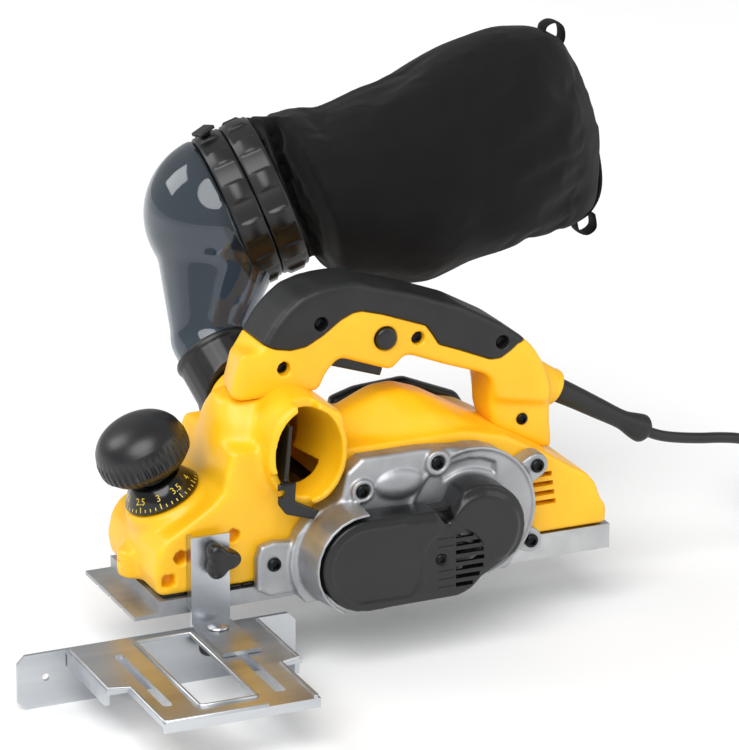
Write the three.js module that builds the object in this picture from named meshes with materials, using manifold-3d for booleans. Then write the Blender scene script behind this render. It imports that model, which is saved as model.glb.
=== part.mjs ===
// Electric hand planer with its edge fence and dust bag, in millimetres, +Z up.
// X runs from the front lip to the rear, Y from the belt side to the port side, and z = 0 is the sole.
import * as THREE from 'three';
import { mergeVertices } from 'three/addons/utils/BufferGeometryUtils.js';
import Module from 'manifold-3d';

const wasm = await Module();
wasm.setup();

// ---- driving dimensions -------------------------------------------------------------------
const gap = 0.3;                 // clearance kept between pieces that touch
const planingWidth = 82;         // length of the blades
const drumX = -22;               // the cutter's axis, fore and aft
const frontReach = 138;          // from the cutter's axis to the front lip
const rearReach = 182;           // from the cutter's axis to the rear end of the sole
const cuttingRadius = 30;        // circle swept by the blade edges
const motorOffset = 77;          // motor axis behind the cutter's axis
const motorRise = 12;            // motor axis above the cutter's axis
const motorBoreRadius = 33.5;
const hump = 59;                 // top of the housing above the motor axis
const cutDepth = 2;              // depth the front shoe is set to; it travels this far each way
const baseHeight = 16;           // height of the cast rear base
const shoeHeight = 12;           // height of the front shoe's rim with the shoe set to cutDepth
const gripHalfWidth = 19;
const chuteX = -51;              // axis of the chip chute, which crosses the body
const chuteZ = 98;
const knobLean = 23.5;           // forward lean of the depth knob, in degrees
const knobRadius = 29.3;
const fenceDrop = 40;            // depth of the fence's guide below the sole
const fenceReach = 128;          // from the guide to the near edge of the fence plate
const fenceGauge = 3;            // thickness of the fence plate
const bracketGauge = 2.5;        // thickness of the bracket's strip
const bracketWidth = 25;
const bagRingRadius = 52;
const elbowWall = 2.2;
const cordRadius = 3.5;
const coilRadius = 40;           // middle of the coil's turns
const cordLength = 4000;         // the whole lead, with what lies wound in the coil

// ---- values worked out from them ----------------------------------------------------------
const lipX = drumX - frontReach;
const rearX = drumX + rearReach;
const bodyHalf = planingWidth / 2 + 1;
const drumZ = cuttingRadius;
const motorX = drumX + motorOffset;
const motorZ = drumZ + motorRise;
const noseX = lipX + 16.5;                     // front face of the housing and of the shoe's rim
const shoeBottom = cutDepth;
const housingFloor = shoeHeight + cutDepth + gap;
const baseTop = baseHeight + gap;
const plateBack = -bodyHalf - gap;             // inner face of the belt-side plate
const plateFront = plateBack - 14.7;           // outer face of the belt-side plate
const coverFront = plateFront - 23;            // outer face of the belt cover
const drumRoom = cuttingRadius + 3;            // radius of the cutter's chamber
const round = 24;                              // segments of a large circle
const small = 10;                              // segments of a small one

// ---- materials ----------------------------------------------------------------------------
const finish = (color, roughness, metalness = 0) =>
  new THREE.MeshStandardMaterial({ color, roughness, metalness });
const yellowPlastic = finish('#fdc41c', 0.42);
const blackPlastic = finish('#2c2c2e', 0.5);
const blackRubber = finish('#3b3b3e', 0.7);
const castAluminium = finish('#b9babc', 0.45, 0.8);
const zincSteel = finish('#c9cacc', 0.3, 0.9);
const hardSteel = finish('#8d9095', 0.3, 0.9);
const blackSteel = finish('#26282b', 0.4, 0.6);
const copperWinding = finish('#a8623a', 0.4, 0.7);
const smokedClear = finish('#6f7f8c', 0.1);
const blackCloth = finish('#17171a', 0.9);
const beltRubber = finish('#1d1d1f', 0.8);

// ---- geometry helpers ---------------------------------------------------------------------

/** A closed three.js geometry as a solid: shared corners merged, collapsed triangles dropped. */
function solid(geometry) {
  const bare = geometry.index ? geometry.toNonIndexed() : geometry.clone();
  bare.deleteAttribute('normal');
  bare.deleteAttribute('uv');
  const merged = mergeVertices(bare, 1e-4);
  const corners = [];
  for (let i = 0; i < merged.index.count; i += 3) {
    const [a, b, c] = [0, 1, 2].map((k) => merged.index.getX(i + k));
    if (a !== b && b !== c && c !== a) corners.push(a, b, c);
  }
  const mesh = new wasm.Mesh({
    numProp: 3,
    vertProperties: Float32Array.from(merged.attributes.position.array),
    triVerts: Uint32Array.from(corners),
  });
  return new wasm.Manifold(mesh);
}

const join = (first, ...rest) => rest.reduce((sum, next) => sum.add(next), first);
const cut = (first, ...rest) => rest.reduce((left, next) => left.subtract(next), first);

/** Closed outline through a list of corners. */
const outline = (corners) => new THREE.Shape(corners.map(([a, b]) => new THREE.Vector2(a, b)));

/** Extrusion of an outline, with an optional rounded edge that stays inside the outline. */
function extrusion(shape, depth, edge, steps) {
  return new THREE.ExtrudeGeometry(shape, {
    depth: depth - 2 * edge,
    bevelEnabled: edge > 0,
    bevelThickness: edge,
    bevelSize: edge,
    bevelOffset: -edge,
    bevelSegments: steps,
    curveSegments: small + 2,
  });
}

/** Outline in (x, z) given thickness along Y. */
function across(shape, yNear, yFar, edge = 0, steps = 2) {
  const geometry = extrusion(shape, yFar - yNear, edge, steps);
  geometry.rotateX(Math.PI / 2);
  geometry.translate(0, yFar - edge, 0);
  return solid(geometry);
}

/** Outline in (x, y) given thickness along Z. */
function upright(shape, zLow, zHigh, edge = 0, steps = 1) {
  const geometry = extrusion(shape, zHigh - zLow, edge, steps);
  geometry.translate(0, 0, zLow + edge);
  return solid(geometry);
}

/** Block from its lowest and highest corners. */
function block(low, high) {
  const size = high.map((value, axis) => value - low[axis]);
  const geometry = new THREE.BoxGeometry(...size);
  geometry.translate(...high.map((value, axis) => (value + low[axis]) / 2));
  return solid(geometry);
}

/** Round bar along Y. */
function barY(radius, x, z, yNear, yFar, segments = round, endRadius = radius) {
  const geometry = new THREE.CylinderGeometry(endRadius, radius, yFar - yNear, segments);
  geometry.translate(x, (yNear + yFar) / 2, z);
  return solid(geometry);
}

/** Round bar along Z. */
function barZ(radius, x, y, zLow, zHigh, segments = round) {
  const geometry = new THREE.CylinderGeometry(radius, radius, zHigh - zLow, segments);
  geometry.rotateX(Math.PI / 2);
  geometry.translate(x, y, (zLow + zHigh) / 2);
  return solid(geometry);
}

/** Turned piece about the Y axis from [radius, y] corners, moved to (x, z). */
function turned(profile, x = 0, z = 0, segments = round) {
  const points = profile.map(([radius, y]) => new THREE.Vector2(radius, y));
  const geometry = new THREE.LatheGeometry(points, segments);
  geometry.translate(x, 0, z);
  return solid(geometry);
}

/** Ring about the Y axis between two radii. */
function ringY(inner, outer, x, z, yNear, yFar, segments = round) {
  return cut(barY(outer, x, z, yNear, yFar, segments), barY(inner, x, z, yNear - 1, yFar + 1, segments));
}

/** Solid turned and moved so that its local +Y points along a direction from a point. */
function aimed(body, from, direction) {
  const turn = new THREE.Quaternion();
  turn.setFromUnitVectors(new THREE.Vector3(0, 1, 0), direction.clone().normalize());
  const place = new THREE.Matrix4().compose(from, turn, new THREE.Vector3(1, 1, 1));
  return body.transform(place.elements);
}

/** Three.js geometry of a finished solid. */
function geometryOf(body) {
  const mesh = body.getMesh();
  const geometry = new THREE.BufferGeometry();
  const places = new Float32Array(mesh.numVert * 3);
  for (let i = 0; i < mesh.numVert; i++) {
    for (let k = 0; k < 3; k++) places[i * 3 + k] = mesh.vertProperties[i * mesh.numProp + k];
  }
  geometry.setAttribute('position', new THREE.BufferAttribute(places, 3));
  geometry.setIndex(new THREE.BufferAttribute(Uint32Array.from(mesh.triVerts), 1));
  geometry.computeVertexNormals();
  return geometry;
}

const planer = new THREE.Group();
const machine = new THREE.Group();
const lead = new THREE.Group();
planer.add(machine, lead);

/** Adds one named piece to a group and returns its mesh. */
function piece(name, body, material, group = machine) {
  const mesh = new THREE.Mesh(geometryOf(body), material);
  mesh.name = name;
  group.add(mesh);
  return mesh;
}

// ---- main housing -------------------------------------------------------------------------
const seatX = lipX + 35.5;                     // middle of the knob's seat
const seatZ = 65;
const columnFront = chuteX - 45;
const columnTop = 124;                         // top of the chute column, under the handle's front foot
const barrelTop = motorZ + hump;
const tailTop = [[rearX - 77, 86], [rearX - 35, 63]];   // slope under the handle's rear foot

/** Side outline of the housing up to a given height over the motor. */
function housingOutline(crest, front, rear) {
  return outline([
    [noseX, housingFloor], [drumX - 22, housingFloor], [drumX - 22, baseTop], [rearX - 2, baseTop],
    [rearX - 2, 30], [rearX - 7, 35], [rearX - 10, 44], [rearX - 23, 56],
    tailTop[1], tailTop[0], [rear, crest - 8], [motorX - 8, crest], [motorX - 32, crest - 1],
    [motorX - 55, crest - 14], [chuteX + 24, columnTop], [front + 8, columnTop], [front, columnTop - 14],
    [front - 2, 76], [seatX + 18, 66], [seatX - 12, 54], [noseX, 42], [noseX - 2.5, 28],
  ]);
}

const leanAngle = knobLean * Math.PI / 180;
const seatDirection = new THREE.Vector3(-Math.sin(leanAngle), 0, Math.cos(leanAngle));
const seatPoint = new THREE.Vector3(seatX, 0, seatZ);
const chuteMouth = -bodyHalf - 15;             // near end of the chute
const chutePort = bodyHalf + 6;                // far end of the chute
const portRadius = 22;

/** Oval bar along Y, for the chute's near mouth. */
function ovalBar(halfWidth, halfHeight, yNear, yFar) {
  const shape = new THREE.Shape();
  shape.absellipse(chuteX, chuteZ, halfWidth, halfHeight, 0, Math.PI * 2);
  return across(shape, yNear, yFar);
}

const selectorX = chuteX - 15;
const selectorZ = chuteZ - 18;
const clampX = lipX + 51;                      // screw that holds the fence bracket
const clampZ = 39;

const housingShell = join(
  across(housingOutline(92, columnFront, motorX + 20), -bodyHalf, bodyHalf, 5, 1),
  across(housingOutline(barrelTop, columnFront + 4, motorX + 25), -bodyHalf + 13, bodyHalf - 13),
  ovalBar(25.5, 33, chuteMouth, 0),
  barY(portRadius + 4, chuteX, chuteZ, 0, chutePort),
  aimed(barY(26, 0, 0, -22, -gap), seatPoint, seatDirection),
);
const gripPocket = block(
  [columnFront - 20, -gripHalfWidth - gap, columnTop],
  [drumX + 2, gripHalfWidth + gap, 150],
);
const housing = cut(
  housingShell,
  gripPocket,
  barY(motorBoreRadius, motorX, motorZ, -bodyHalf - 1, bodyHalf - 6),
  barY(8.3, motorX, motorZ, 0, bodyHalf + 1, small),
  barY(drumRoom, drumX, drumZ, -bodyHalf - 1, bodyHalf + 1),
  block([chuteX - 12, -34, 50], [drumX - 4, 34, chuteZ - 14]),
  ovalBar(21.5, 29, chuteMouth - 1, 0),
  barY(portRadius, chuteX, chuteZ, -1, chutePort + 1),
  barY(3.4, selectorX, selectorZ, chuteMouth - 1, 10, small),
  block([chuteX - 40, chuteMouth - 1, chuteZ - 60], [chuteX + 4, chuteMouth + 4, chuteZ - 14]),
  block([seatX - 4, -22, 0], [seatX + 38, 22, 44]),
  aimed(barY(6, 0, 0, -60, 10, small), seatPoint, seatDirection),
  barY(4, clampX, clampZ, -bodyHalf - 1, -bodyHalf + 16, small),
  barY(4.6, clampX - 20, clampZ, -bodyHalf - 1, -bodyHalf + 10, small),
  block([clampX - 27, -bodyHalf - 1, 20], [clampX - 19, -bodyHalf + 8, 28]),
);
piece('main_housing', housing, yellowPlastic);

// ---- motor end cover ----------------------------------------------------------------------
const coverOutline = outline([
  [motorX - 41, 18], [motorX + 52, 18], [motorX + 55, 60], [motorX + 40, 84], [motorX + 4, barrelTop - 2],
  [motorX - 30, barrelTop - 4], [motorX - 47, 92], [motorX - 50, 76], [motorX - 41, 62],
]);
piece('motor_end_cover', across(coverOutline, bodyHalf + gap, bodyHalf + 15, 5, 2), blackPlastic);

// ---- cast base and front shoe -------------------------------------------------------------
const farCheek = bodyHalf + gap;
const shoeEnd = drumX - 22;
const mouthCut = barY(cuttingRadius + 2.5, drumX, drumZ, -100, 100);
const baseShell = block([drumX + 8, -bodyHalf, 0], [rearX, bodyHalf, baseHeight]);
const pocketFloor = motorZ - motorBoreRadius - 1.5;      // clear of the motor above it
const basePocket = block([drumX + 40, -bodyHalf + 5, pocketFloor], [rearX - 6, bodyHalf - 5, baseHeight + 1]);
const rearBase = cut(baseShell, basePocket, mouthCut);
piece('rear_base', rearBase, castAluminium);

const drumFlank = join(
  barY(cuttingRadius + 4, drumX, drumZ + 4, farCheek, farCheek + 6),
  block([drumX - 16, farCheek, 2], [drumX + 16, farCheek + 6, drumZ]),
);
const flankCut = block([drumX - 60, farCheek - 1, -40], [drumX + 60, farCheek + 8, 2]);
const flankBore = barY(11 + gap, drumX, drumZ, 0, 100, small * 2);
piece('drum_flank', cut(drumFlank, flankCut, flankBore), castAluminium);

const lipGauge = 2.5;
const rimGauge = 4;
const shoeRear = drumX - 10;
const shoeShell = join(
  block([lipX, -bodyHalf, shoeBottom], [noseX + 3, bodyHalf, shoeBottom + lipGauge]),
  block([noseX, -bodyHalf, shoeBottom], [shoeRear, bodyHalf, shoeHeight]),
);
const shoeDish = block(
  [noseX + rimGauge, -bodyHalf + rimGauge, shoeBottom + 4],
  [shoeEnd - 10, bodyHalf - rimGauge, 40],
);
const screwPost = cut(
  aimed(barY(13, 0, 0, -64, -38, small * 2), seatPoint, seatDirection),
  block([lipX, -40, -40], [drumX, 40, shoeBottom + 1]),
);
const shoeGrooves = [-1, 0, 1].map((side) => {
  const groove = new THREE.CylinderGeometry(2.4, 2.4, 40, 4);
  groove.rotateZ(Math.PI / 2);
  groove.translate(lipX + 19, side * 21, shoeBottom - 0.6);
  return solid(groove);
});
const shoeBody = cut(
  join(cut(shoeShell, shoeDish), screwPost),
  aimed(barY(6.8, 0, 0, -70, 0, small), seatPoint, seatDirection).intersect(
    block([lipX, -40, shoeBottom + 4], [drumX, 40, 80])),
  mouthCut,
  ...shoeGrooves,
);
piece('front_shoe', shoeBody, castAluminium);

const skirtOuter = [noseX + rimGauge + 0.5, bodyHalf - rimGauge - 0.5];
const skirtRear = shoeEnd - 10.5;
const skirtLow = shoeBottom + 4 + cutDepth + 0.5;
const skirt = cut(
  block([skirtOuter[0], -skirtOuter[1], skirtLow], [skirtRear, skirtOuter[1], housingFloor - gap]),
  block([skirtOuter[0] + 3, -skirtOuter[1] + 3, 0], [skirtRear - 3, skirtOuter[1] - 3, 40]),
);
piece('shoe_skirt', skirt, blackRubber);

// ---- depth knob, scale and screw ----------------------------------------------------------
const depthSet = new THREE.Group();
depthSet.position.copy(seatPoint);
depthSet.rotation.z = leanAngle;
const depthFrame = new THREE.Group();
depthFrame.rotation.x = Math.PI / 2;
depthFrame.add(depthSet);
depthSet.position.set(seatPoint.x, seatPoint.z, 0);
machine.add(depthFrame);
// Inside depthSet, +Y is the knob's own axis.
const ringTop = 13;
const scaleRing = cut(
  turned([[0, 0], [24, 0], [24, 1.5], [16, ringTop], [0, ringTop]]),
  barY(5 + gap, 0, 0, -1, 20, small),
);
piece('depth_scale', scaleRing, blackPlastic, depthSet);
const knobProfile = [
  [0, ringTop + gap], [12.5, ringTop + gap], [12.5, 17], [19, 18],
  [knobRadius - 4, 21], [knobRadius - 3, 24], [knobRadius, 27], [knobRadius, 35],
  [knobRadius - 4, 44], [knobRadius - 11, 50], [knobRadius - 21, 53.5], [0, 54],
];
const knobBody = cut(turned(knobProfile), barY(5 + gap, 0, 0, 0, 30, small));
piece('depth_knob', knobBody, blackPlastic, depthSet);
piece('depth_screw', barY(5, 0, 0, -44, 29, small), hardSteel, depthSet);

// ---- cutter -------------------------------------------------------------------------------
const drumHalf = planingWidth / 2;
const shaftRadius = 6;
const bladeSlot = (side) => block(
  [drumX + side * 6 - 2, -drumHalf - 1, drumZ + (side > 0 ? 14 : -cuttingRadius - 1)],
  [drumX + side * 6 + 2, drumHalf + 1, drumZ + (side > 0 ? cuttingRadius + 1 : -14)],
);
const drumBlank = barY(cuttingRadius - 2.5, drumX, drumZ, -drumHalf, drumHalf);
const drumCore = cut(drumBlank, bladeSlot(1), bladeSlot(-1));
const drumBeltEnd = coverFront + 8;
const cutterDrum = join(drumCore, barY(shaftRadius, drumX, drumZ, drumBeltEnd, farCheek + 6, small * 2));
piece('cutter_drum', cutterDrum, hardSteel);
for (const [name, side] of [['blade_1', 1], ['blade_2', -1]]) {
  const low = drumZ + (side > 0 ? 14 + gap : -cuttingRadius + 0.6);
  const high = drumZ + (side > 0 ? cuttingRadius - 0.6 : -14 - gap);
  const middle = drumX + side * 6;
  const blade = block([middle - 2 + gap, -drumHalf, low], [middle + 2 - gap, drumHalf, high]);
  piece(name, blade, zincSteel);
}
const bearingOuter = 11;
const drumBearing = (yNear, yFar) =>
  ringY(shaftRadius + gap, bearingOuter, drumX, drumZ, yNear, yFar, small * 2);
piece('drum_bearing_far', drumBearing(farCheek, farCheek + 6), hardSteel);
piece('drum_bearing_near', drumBearing(plateFront + 4, plateBack), hardSteel);

// ---- belt drive ---------------------------------------------------------------------------
const beltNear = drumBeltEnd + 2;
const beltFar = beltNear + 9;
const drumPulleyRadius = 21;
const motorPulleyRadius = 13;
const beltGauge = 2.5;
const pulley = (radius, x, z, bore) => cut(
  join(barY(radius, x, z, beltNear, beltFar), barY(radius + 1.5, x, z, beltFar, beltFar + 1.5)),
  barY(bore, x, z, -200, 0, small * 2),
);
piece('drum_pulley', pulley(drumPulleyRadius, drumX, drumZ, shaftRadius + gap), hardSteel);
piece('motor_pulley', pulley(motorPulleyRadius, motorX, motorZ, 5 + gap), hardSteel);

/** Outline of a belt round both pulleys: straight runs joined by arcs at the tangent points. */
function beltOutline(extra) {
  const large = drumPulleyRadius + extra;
  const little = motorPulleyRadius + extra;
  const tilt = Math.atan2(motorRise, motorOffset);
  const lap = Math.acos((large - little) / Math.hypot(motorOffset, motorRise));
  const shape = new THREE.Shape();
  shape.absarc(drumX, drumZ, large, tilt + lap, tilt - lap + Math.PI * 2);
  shape.absarc(motorX, motorZ, little, tilt - lap, tilt + lap);
  return shape;
}

const beltLoop = cut(
  across(beltOutline(gap + beltGauge), beltNear, beltFar - gap),
  across(beltOutline(gap), beltNear - 1, beltFar + 1),
);
piece('drive_belt', beltLoop, beltRubber);

// ---- motor --------------------------------------------------------------------------------
const motorShaft = 5;
const rotorRadius = motorBoreRadius - 13;
const commutatorRadius = 11;
const fanRadius = motorBoreRadius - 3.5;
const farWall = bodyHalf - 6;
const armature = join(
  barY(motorShaft, motorX, motorZ, beltNear - 2, farWall + 6, small),
  barY(rotorRadius, motorX, motorZ, -20, 10),
  barY(commutatorRadius, motorX, motorZ, 12, 26, small * 2),
  barY(14, motorX, motorZ, 9, 13, small * 2),
);
piece('armature', armature, copperWinding);
piece('stator', ringY(rotorRadius + 1, motorBoreRadius - 0.5, motorX, motorZ, -20, 10), hardSteel);
const fanBlades = Array.from({ length: 9 }, (_, index) => {
  const blade = new THREE.BoxGeometry(fanRadius - 13, 7, 1.6);
  blade.translate((fanRadius + 11) / 2, -31, 0);
  blade.rotateY(index * Math.PI * 2 / 9);
  blade.translate(motorX, 0, motorZ);
  return solid(blade);
});
const fan = cut(
  join(barY(fanRadius, motorX, motorZ, -29, -27), barY(14, motorX, motorZ, -35, -27), ...fanBlades),
  barY(motorShaft + gap, motorX, motorZ, -60, 0, small),
);
piece('cooling_fan', fan, blackPlastic);
piece('motor_bearing_near',
  ringY(motorShaft + gap, 10, motorX, motorZ, plateFront + 4, plateBack, small * 2), hardSteel);
piece('motor_bearing_far', ringY(motorShaft + gap, 8, motorX, motorZ, farWall, farWall + 6, small), hardSteel);
const brushRing = join(
  ringY(motorBoreRadius - 9.5, motorBoreRadius - 0.5, motorX, motorZ, 15, 24),
  ...[-1, 1].map((side) => block([commutatorRadius + gap, 16, -4], [motorBoreRadius - 4.8, 23, 4])
    .scale([side, 1, 1]).translate([motorX, 0, motorZ])),
);
piece('brush_ring', brushRing, blackPlastic);

// ---- belt-side plate and its screws -------------------------------------------------------
const rimRadius = 37;
const gearDisc = 43.5;
const webOutline = outline([
  [drumX - 30, drumZ + 18], [drumX - 8, drumZ + 36], [drumX - 4, drumZ + 52], [drumX + 6, drumZ + 60],
  [drumX + 46, drumZ + 60], [motorX + 10, motorZ + 44], [motorX + 42, motorZ + 10], [motorX + 36, motorZ - 26],
  [motorX + 28, 3], [drumX - 10, 3], [drumX - 34, drumZ - 14],
]);
const screwPlaces = [
  [drumX + 5, drumZ + 40], [drumX + 55, motorZ + 39], [motorX + 47, motorZ + 26],
  [motorX + 43.5, motorZ - 23], [drumX - 50, drumZ - 2],
];
const earRadius = 8;
const guardRoom = 33.2;
const guardZ = drumZ - 1;
const noseBoss = outline([
  [drumX - 61, 12], [drumX - 61, drumZ + 3], [drumX - 58, drumZ + 10], [drumX - 49, drumZ + 12],
  [drumX - 30, drumZ + 10], [drumX - 30, 8], [drumX - 53, 7],
]);
const guardSweep = outline([
  [drumX - 60, -20], [drumX - 2, -20], [drumX - 14, drumZ],
  [drumX + 2, drumZ + 30], [drumX + 2, 90], [drumX - 60, 90],
]);
const guardTip = coverFront + 2;
const guard = cut(
  barY(guardRoom, drumX, guardZ, guardTip, plateBack, round, rimRadius),
  barY(guardRoom - 2, drumX, guardZ, guardTip - 1, plateFront, round, guardRoom + 1),
).intersect(across(guardSweep, guardTip - 2, plateBack + 1));
/** Lug that carries a screw beside the gear disc. */
function lug([x, z]) {
  const reach = new THREE.Vector3(x - motorX, 0, z - motorZ);
  const bar = block([-earRadius, 30, plateFront + 1], [earRadius, reach.length(), plateBack]);
  const turn = new THREE.Matrix4().makeRotationY(Math.atan2(reach.x, reach.z));
  const stand = new THREE.Matrix4().makeRotationX(Math.PI / 2);
  const flip = new THREE.Matrix4().makeScale(1, -1, 1);
  const place = new THREE.Matrix4().makeTranslation(motorX, 0, motorZ);
  return bar.transform(place.multiply(turn).multiply(flip).multiply(stand).elements);
}

const plateBody = cut(
  join(
    across(webOutline, plateFront, plateBack, 2, 1),
    barY(gearDisc, motorX, motorZ + 2, plateFront, plateBack),
    barY(rimRadius + 1.5, drumX - 2, drumZ - 4, plateFront + 4, plateBack),
    across(noseBoss, plateBack - 8, plateBack, 1.5, 1),
    ...screwPlaces.slice(0, 4).map(([x, z]) => barY(earRadius, x, z, plateFront + 1, plateBack, small)),
    ...screwPlaces.slice(2, 4).map(lug),
    guard,
  ),
  block([-300, -300, -60], [300, 0, 0.5]),
  ...screwPlaces.slice(0, 4).map(([x, z]) => barY(5, x, z, -100, plateFront + 1, small)),
  barY(motorShaft + 2, motorX, motorZ, -100, 0, small),
  barY(shaftRadius + 2, drumX, drumZ, -100, 0, small),
  barY(10 + gap, motorX, motorZ, plateFront + 4 - gap, 0, small * 2),
  barY(bearingOuter + gap, drumX, drumZ, plateFront + 4 - gap, 0, small * 2),
  ...screwPlaces.map(([x, z]) => barY(2.8, x, z, -100, 0, small)),
  ringY(29, 36, motorX, motorZ + 2, plateFront - 1, plateFront + 2.5).intersect(
    block([motorX - 18, -100, motorZ + 2], [motorX + 18, 0, motorZ + 60])),
);
piece('side_plate', plateBody, castAluminium);

/** Panhead screw along Y, its head facing the belt side, from the seat of its head. */
function screwBody(headRadius, headHeight, shankRadius, length) {
  const head = barY(headRadius, 0, 0, -headHeight, 0, small);
  const shank = barY(shankRadius, 0, 0, -0.5, length, small);
  const slot = block([-headRadius * 0.6, -headHeight - 1, -0.6], [headRadius * 0.6, -headHeight + 1, 0.6]);
  return cut(join(head, shank), slot);
}

screwPlaces.forEach(([x, z], index) => {
  const screw = piece(`plate_screw_${index + 1}`, screwBody(4.4, 3.2, 2.3, index < 4 ? 12 : 6), blackSteel);
  screw.position.set(x, index < 4 ? plateFront + 1 - gap : plateBack - 8 - gap, z);
});

// ---- belt cover ---------------------------------------------------------------------------
/** Outline round the drum pulley, the vent corner and the motor pulley, shrunk by a wall. */
function beltCoverOutline(wall) {
  const shape = new THREE.Shape();
  shape.absarc(drumX, drumZ - 0.5, 29.3 - wall, Math.PI / 2, Math.PI * 3 / 2);
  shape.absarc(motorX - 19, 24, 23.4 - wall, -Math.PI / 2, -0.5);
  shape.absarc(motorX - 2, motorZ - 1, 29.3 - wall, -0.5, Math.PI * 0.62);
  return shape;
}

const coverWall = 2.5;
const coverScrewPlace = [motorX - 28.5, 26];
const coverBody = cut(
  across(beltCoverOutline(0), coverFront, plateFront - gap, 4, 2),
  across(beltCoverOutline(coverWall), coverFront + coverWall, plateFront + 5),
  barY(2.6, coverScrewPlace[0], coverScrewPlace[1], coverFront - 1, coverFront + 6, small),
  ...Array.from({ length: 7 }, (_, index) => block(
    [motorX - 20, coverFront - 1, 5 + index * 6], [motorX - 2, coverFront + 4, 8 + index * 6])),
);
const coverPost = cut(
  barY(4, coverScrewPlace[0], coverScrewPlace[1], coverFront + coverWall - 1, plateFront - gap, small),
  barY(2.6, coverScrewPlace[0], coverScrewPlace[1], coverFront - 1, 0, small),
);
piece('belt_cover', join(coverBody, coverPost), blackPlastic);
const coverScrew = piece('cover_screw', screwBody(3.6, 2.4, 2.1, 16), blackSteel);
coverScrew.position.set(coverScrewPlace[0], coverFront - gap, coverScrewPlace[1]);

// ---- handle -------------------------------------------------------------------------------
const footZ = columnTop + gap;
/** Side outline of the whole handle: a D with its finger opening below the grip. */
const handleOutline = outline([
  [columnFront + 13, footZ], [columnFront + 24, 148], [columnFront + 31, 158], [columnFront + 38, 168],
  [columnFront + 46, 177], [columnFront + 56, 185], [columnFront + 70, 189], [0, 189], [10, 185], [34, 178],
  [68, 165], [rearX - 65, 150], [rearX - 50, 139], [rearX - 42, 131], [rearX - 34, 121], [rearX - 24, 112],
  [rearX - 20, 103], [rearX - 24, 92], [rearX - 29, 88],
  [rearX - 27, tailTop[1][1] + 1], [tailTop[1][0], tailTop[1][1] + gap + 0.2],
  [tailTop[0][0] + 3, tailTop[0][1] + gap - 1.2], [rearX - 78, 92],
  [rearX - 81, 117], [34, 137], [29, 137.5], [22, 130], [18, 130], [-14, 142], [-21, 136], [-27, footZ],
]);
const gripSplit = outline([
  [columnFront + 18, 162], [-60, 155], [-50, 151.5], [-38, 152], [-26, 157], [-12, 167],
  [-2, 171], [10, 169], [43, 157], [47, 152], [51, 143], [56, 140],
  [rearX - 74, 129], [rearX - 64, 128.5], [rearX - 56, 133], [rearX - 38, 138], [rearX - 35, 205], [-90, 205],
]);
const gripSplitWide = outline([
  [columnFront + 18, 162 - gap], [-60, 155 - gap], [-50, 151.5 - gap], [-38, 152 - gap], [-26, 157 - gap],
  [-12, 167 - gap], [-2, 171 - gap], [10, 169 - gap], [43 - gap, 157 - gap], [47 - gap, 152 - gap],
  [51 - gap, 143 - gap], [56 - gap, 140 - gap], [rearX - 74, 129 - gap], [rearX - 64, 128.5 - gap],
  [rearX - 56, 133 - gap], [rearX - 38, 138 - gap], [rearX - 34, 205], [-91, 205],
]);
const wholeHandle = across(handleOutline, -gripHalfWidth, gripHalfWidth, 4, 2);
const switchRoom = block([-24, -9, 143], [34, 9, 166]);
const triggerRoom = block([-17, -7, 124], [22.5, 7, 150]);
const buttonX = 15;
const buttonZ = 151;
const buttonRadius = 7;
const reliefRoot = new THREE.Vector3(rearX - 32, 0, 102);
const reliefAim = new THREE.Vector3(0.869, 0, -0.494);
const reliefHole = aimed(barY(8.2, 0, 0, -2, 40, small), reliefRoot, reliefAim);
const handleScrews = [[-27, 166], [-52, 141], [38, 148], [rearX - 65, 138], [rearX - 49, 84]];
const screwSeat = -gripHalfWidth + 5;
const handleHoles = handleScrews.flatMap(([x, z]) => [
  barY(2.2 + gap, x, z, -40, gripHalfWidth - 4, small),
  barY(4.2, x, z, -40, screwSeat, small),
]);
const handleCuts = [
  switchRoom, triggerRoom, reliefHole, ...handleHoles,
  barY(buttonRadius + gap, buttonX, buttonZ, -40, 40, small * 2),
];
const nearSide = block([-300, -60, 0], [300, -gap / 2, 300]);
const farSide = block([-300, gap / 2, 0], [300, 60, 300]);
const gripBody = cut(wholeHandle.intersect(across(gripSplit, -40, 40)), ...handleCuts);
const frameBody = cut(wholeHandle, across(gripSplitWide, -40, 40), ...handleCuts);
piece('handle_shell_near', frameBody.intersect(nearSide), yellowPlastic);
piece('handle_shell_far', frameBody.intersect(farSide), yellowPlastic);
piece('grip_near', gripBody.intersect(nearSide), blackRubber);
piece('grip_far', gripBody.intersect(farSide), blackRubber);
handleScrews.forEach(([x, z], index) => {
  const screw = piece(`handle_screw_${index + 1}`, screwBody(3.8, 2.6, 2.2, 24), blackSteel);
  screw.position.set(x, screwSeat - gap, z);
});

// ---- switch, trigger and lock-off button --------------------------------------------------
piece('switch_body', block([-23, -8.5, 158.5], [33, 8.5, 165.5]), blackPlastic);
const triggerOutline = outline([
  [-14, 148], [-16, 138], [-15, 133.5], [18, 122.5], [19.5, 127], [19.5, 133], [2, 139], [-6, 148],
]);
piece('trigger', across(triggerOutline, -6.6, 6.6, 0.8, 1), blackPlastic);
const buttonHalf = gripHalfWidth + 1.5;
const lockButton = barY(buttonRadius, buttonX, buttonZ, -buttonHalf, buttonHalf, small * 2);
piece('lock_off_button', lockButton, blackPlastic);

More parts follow.
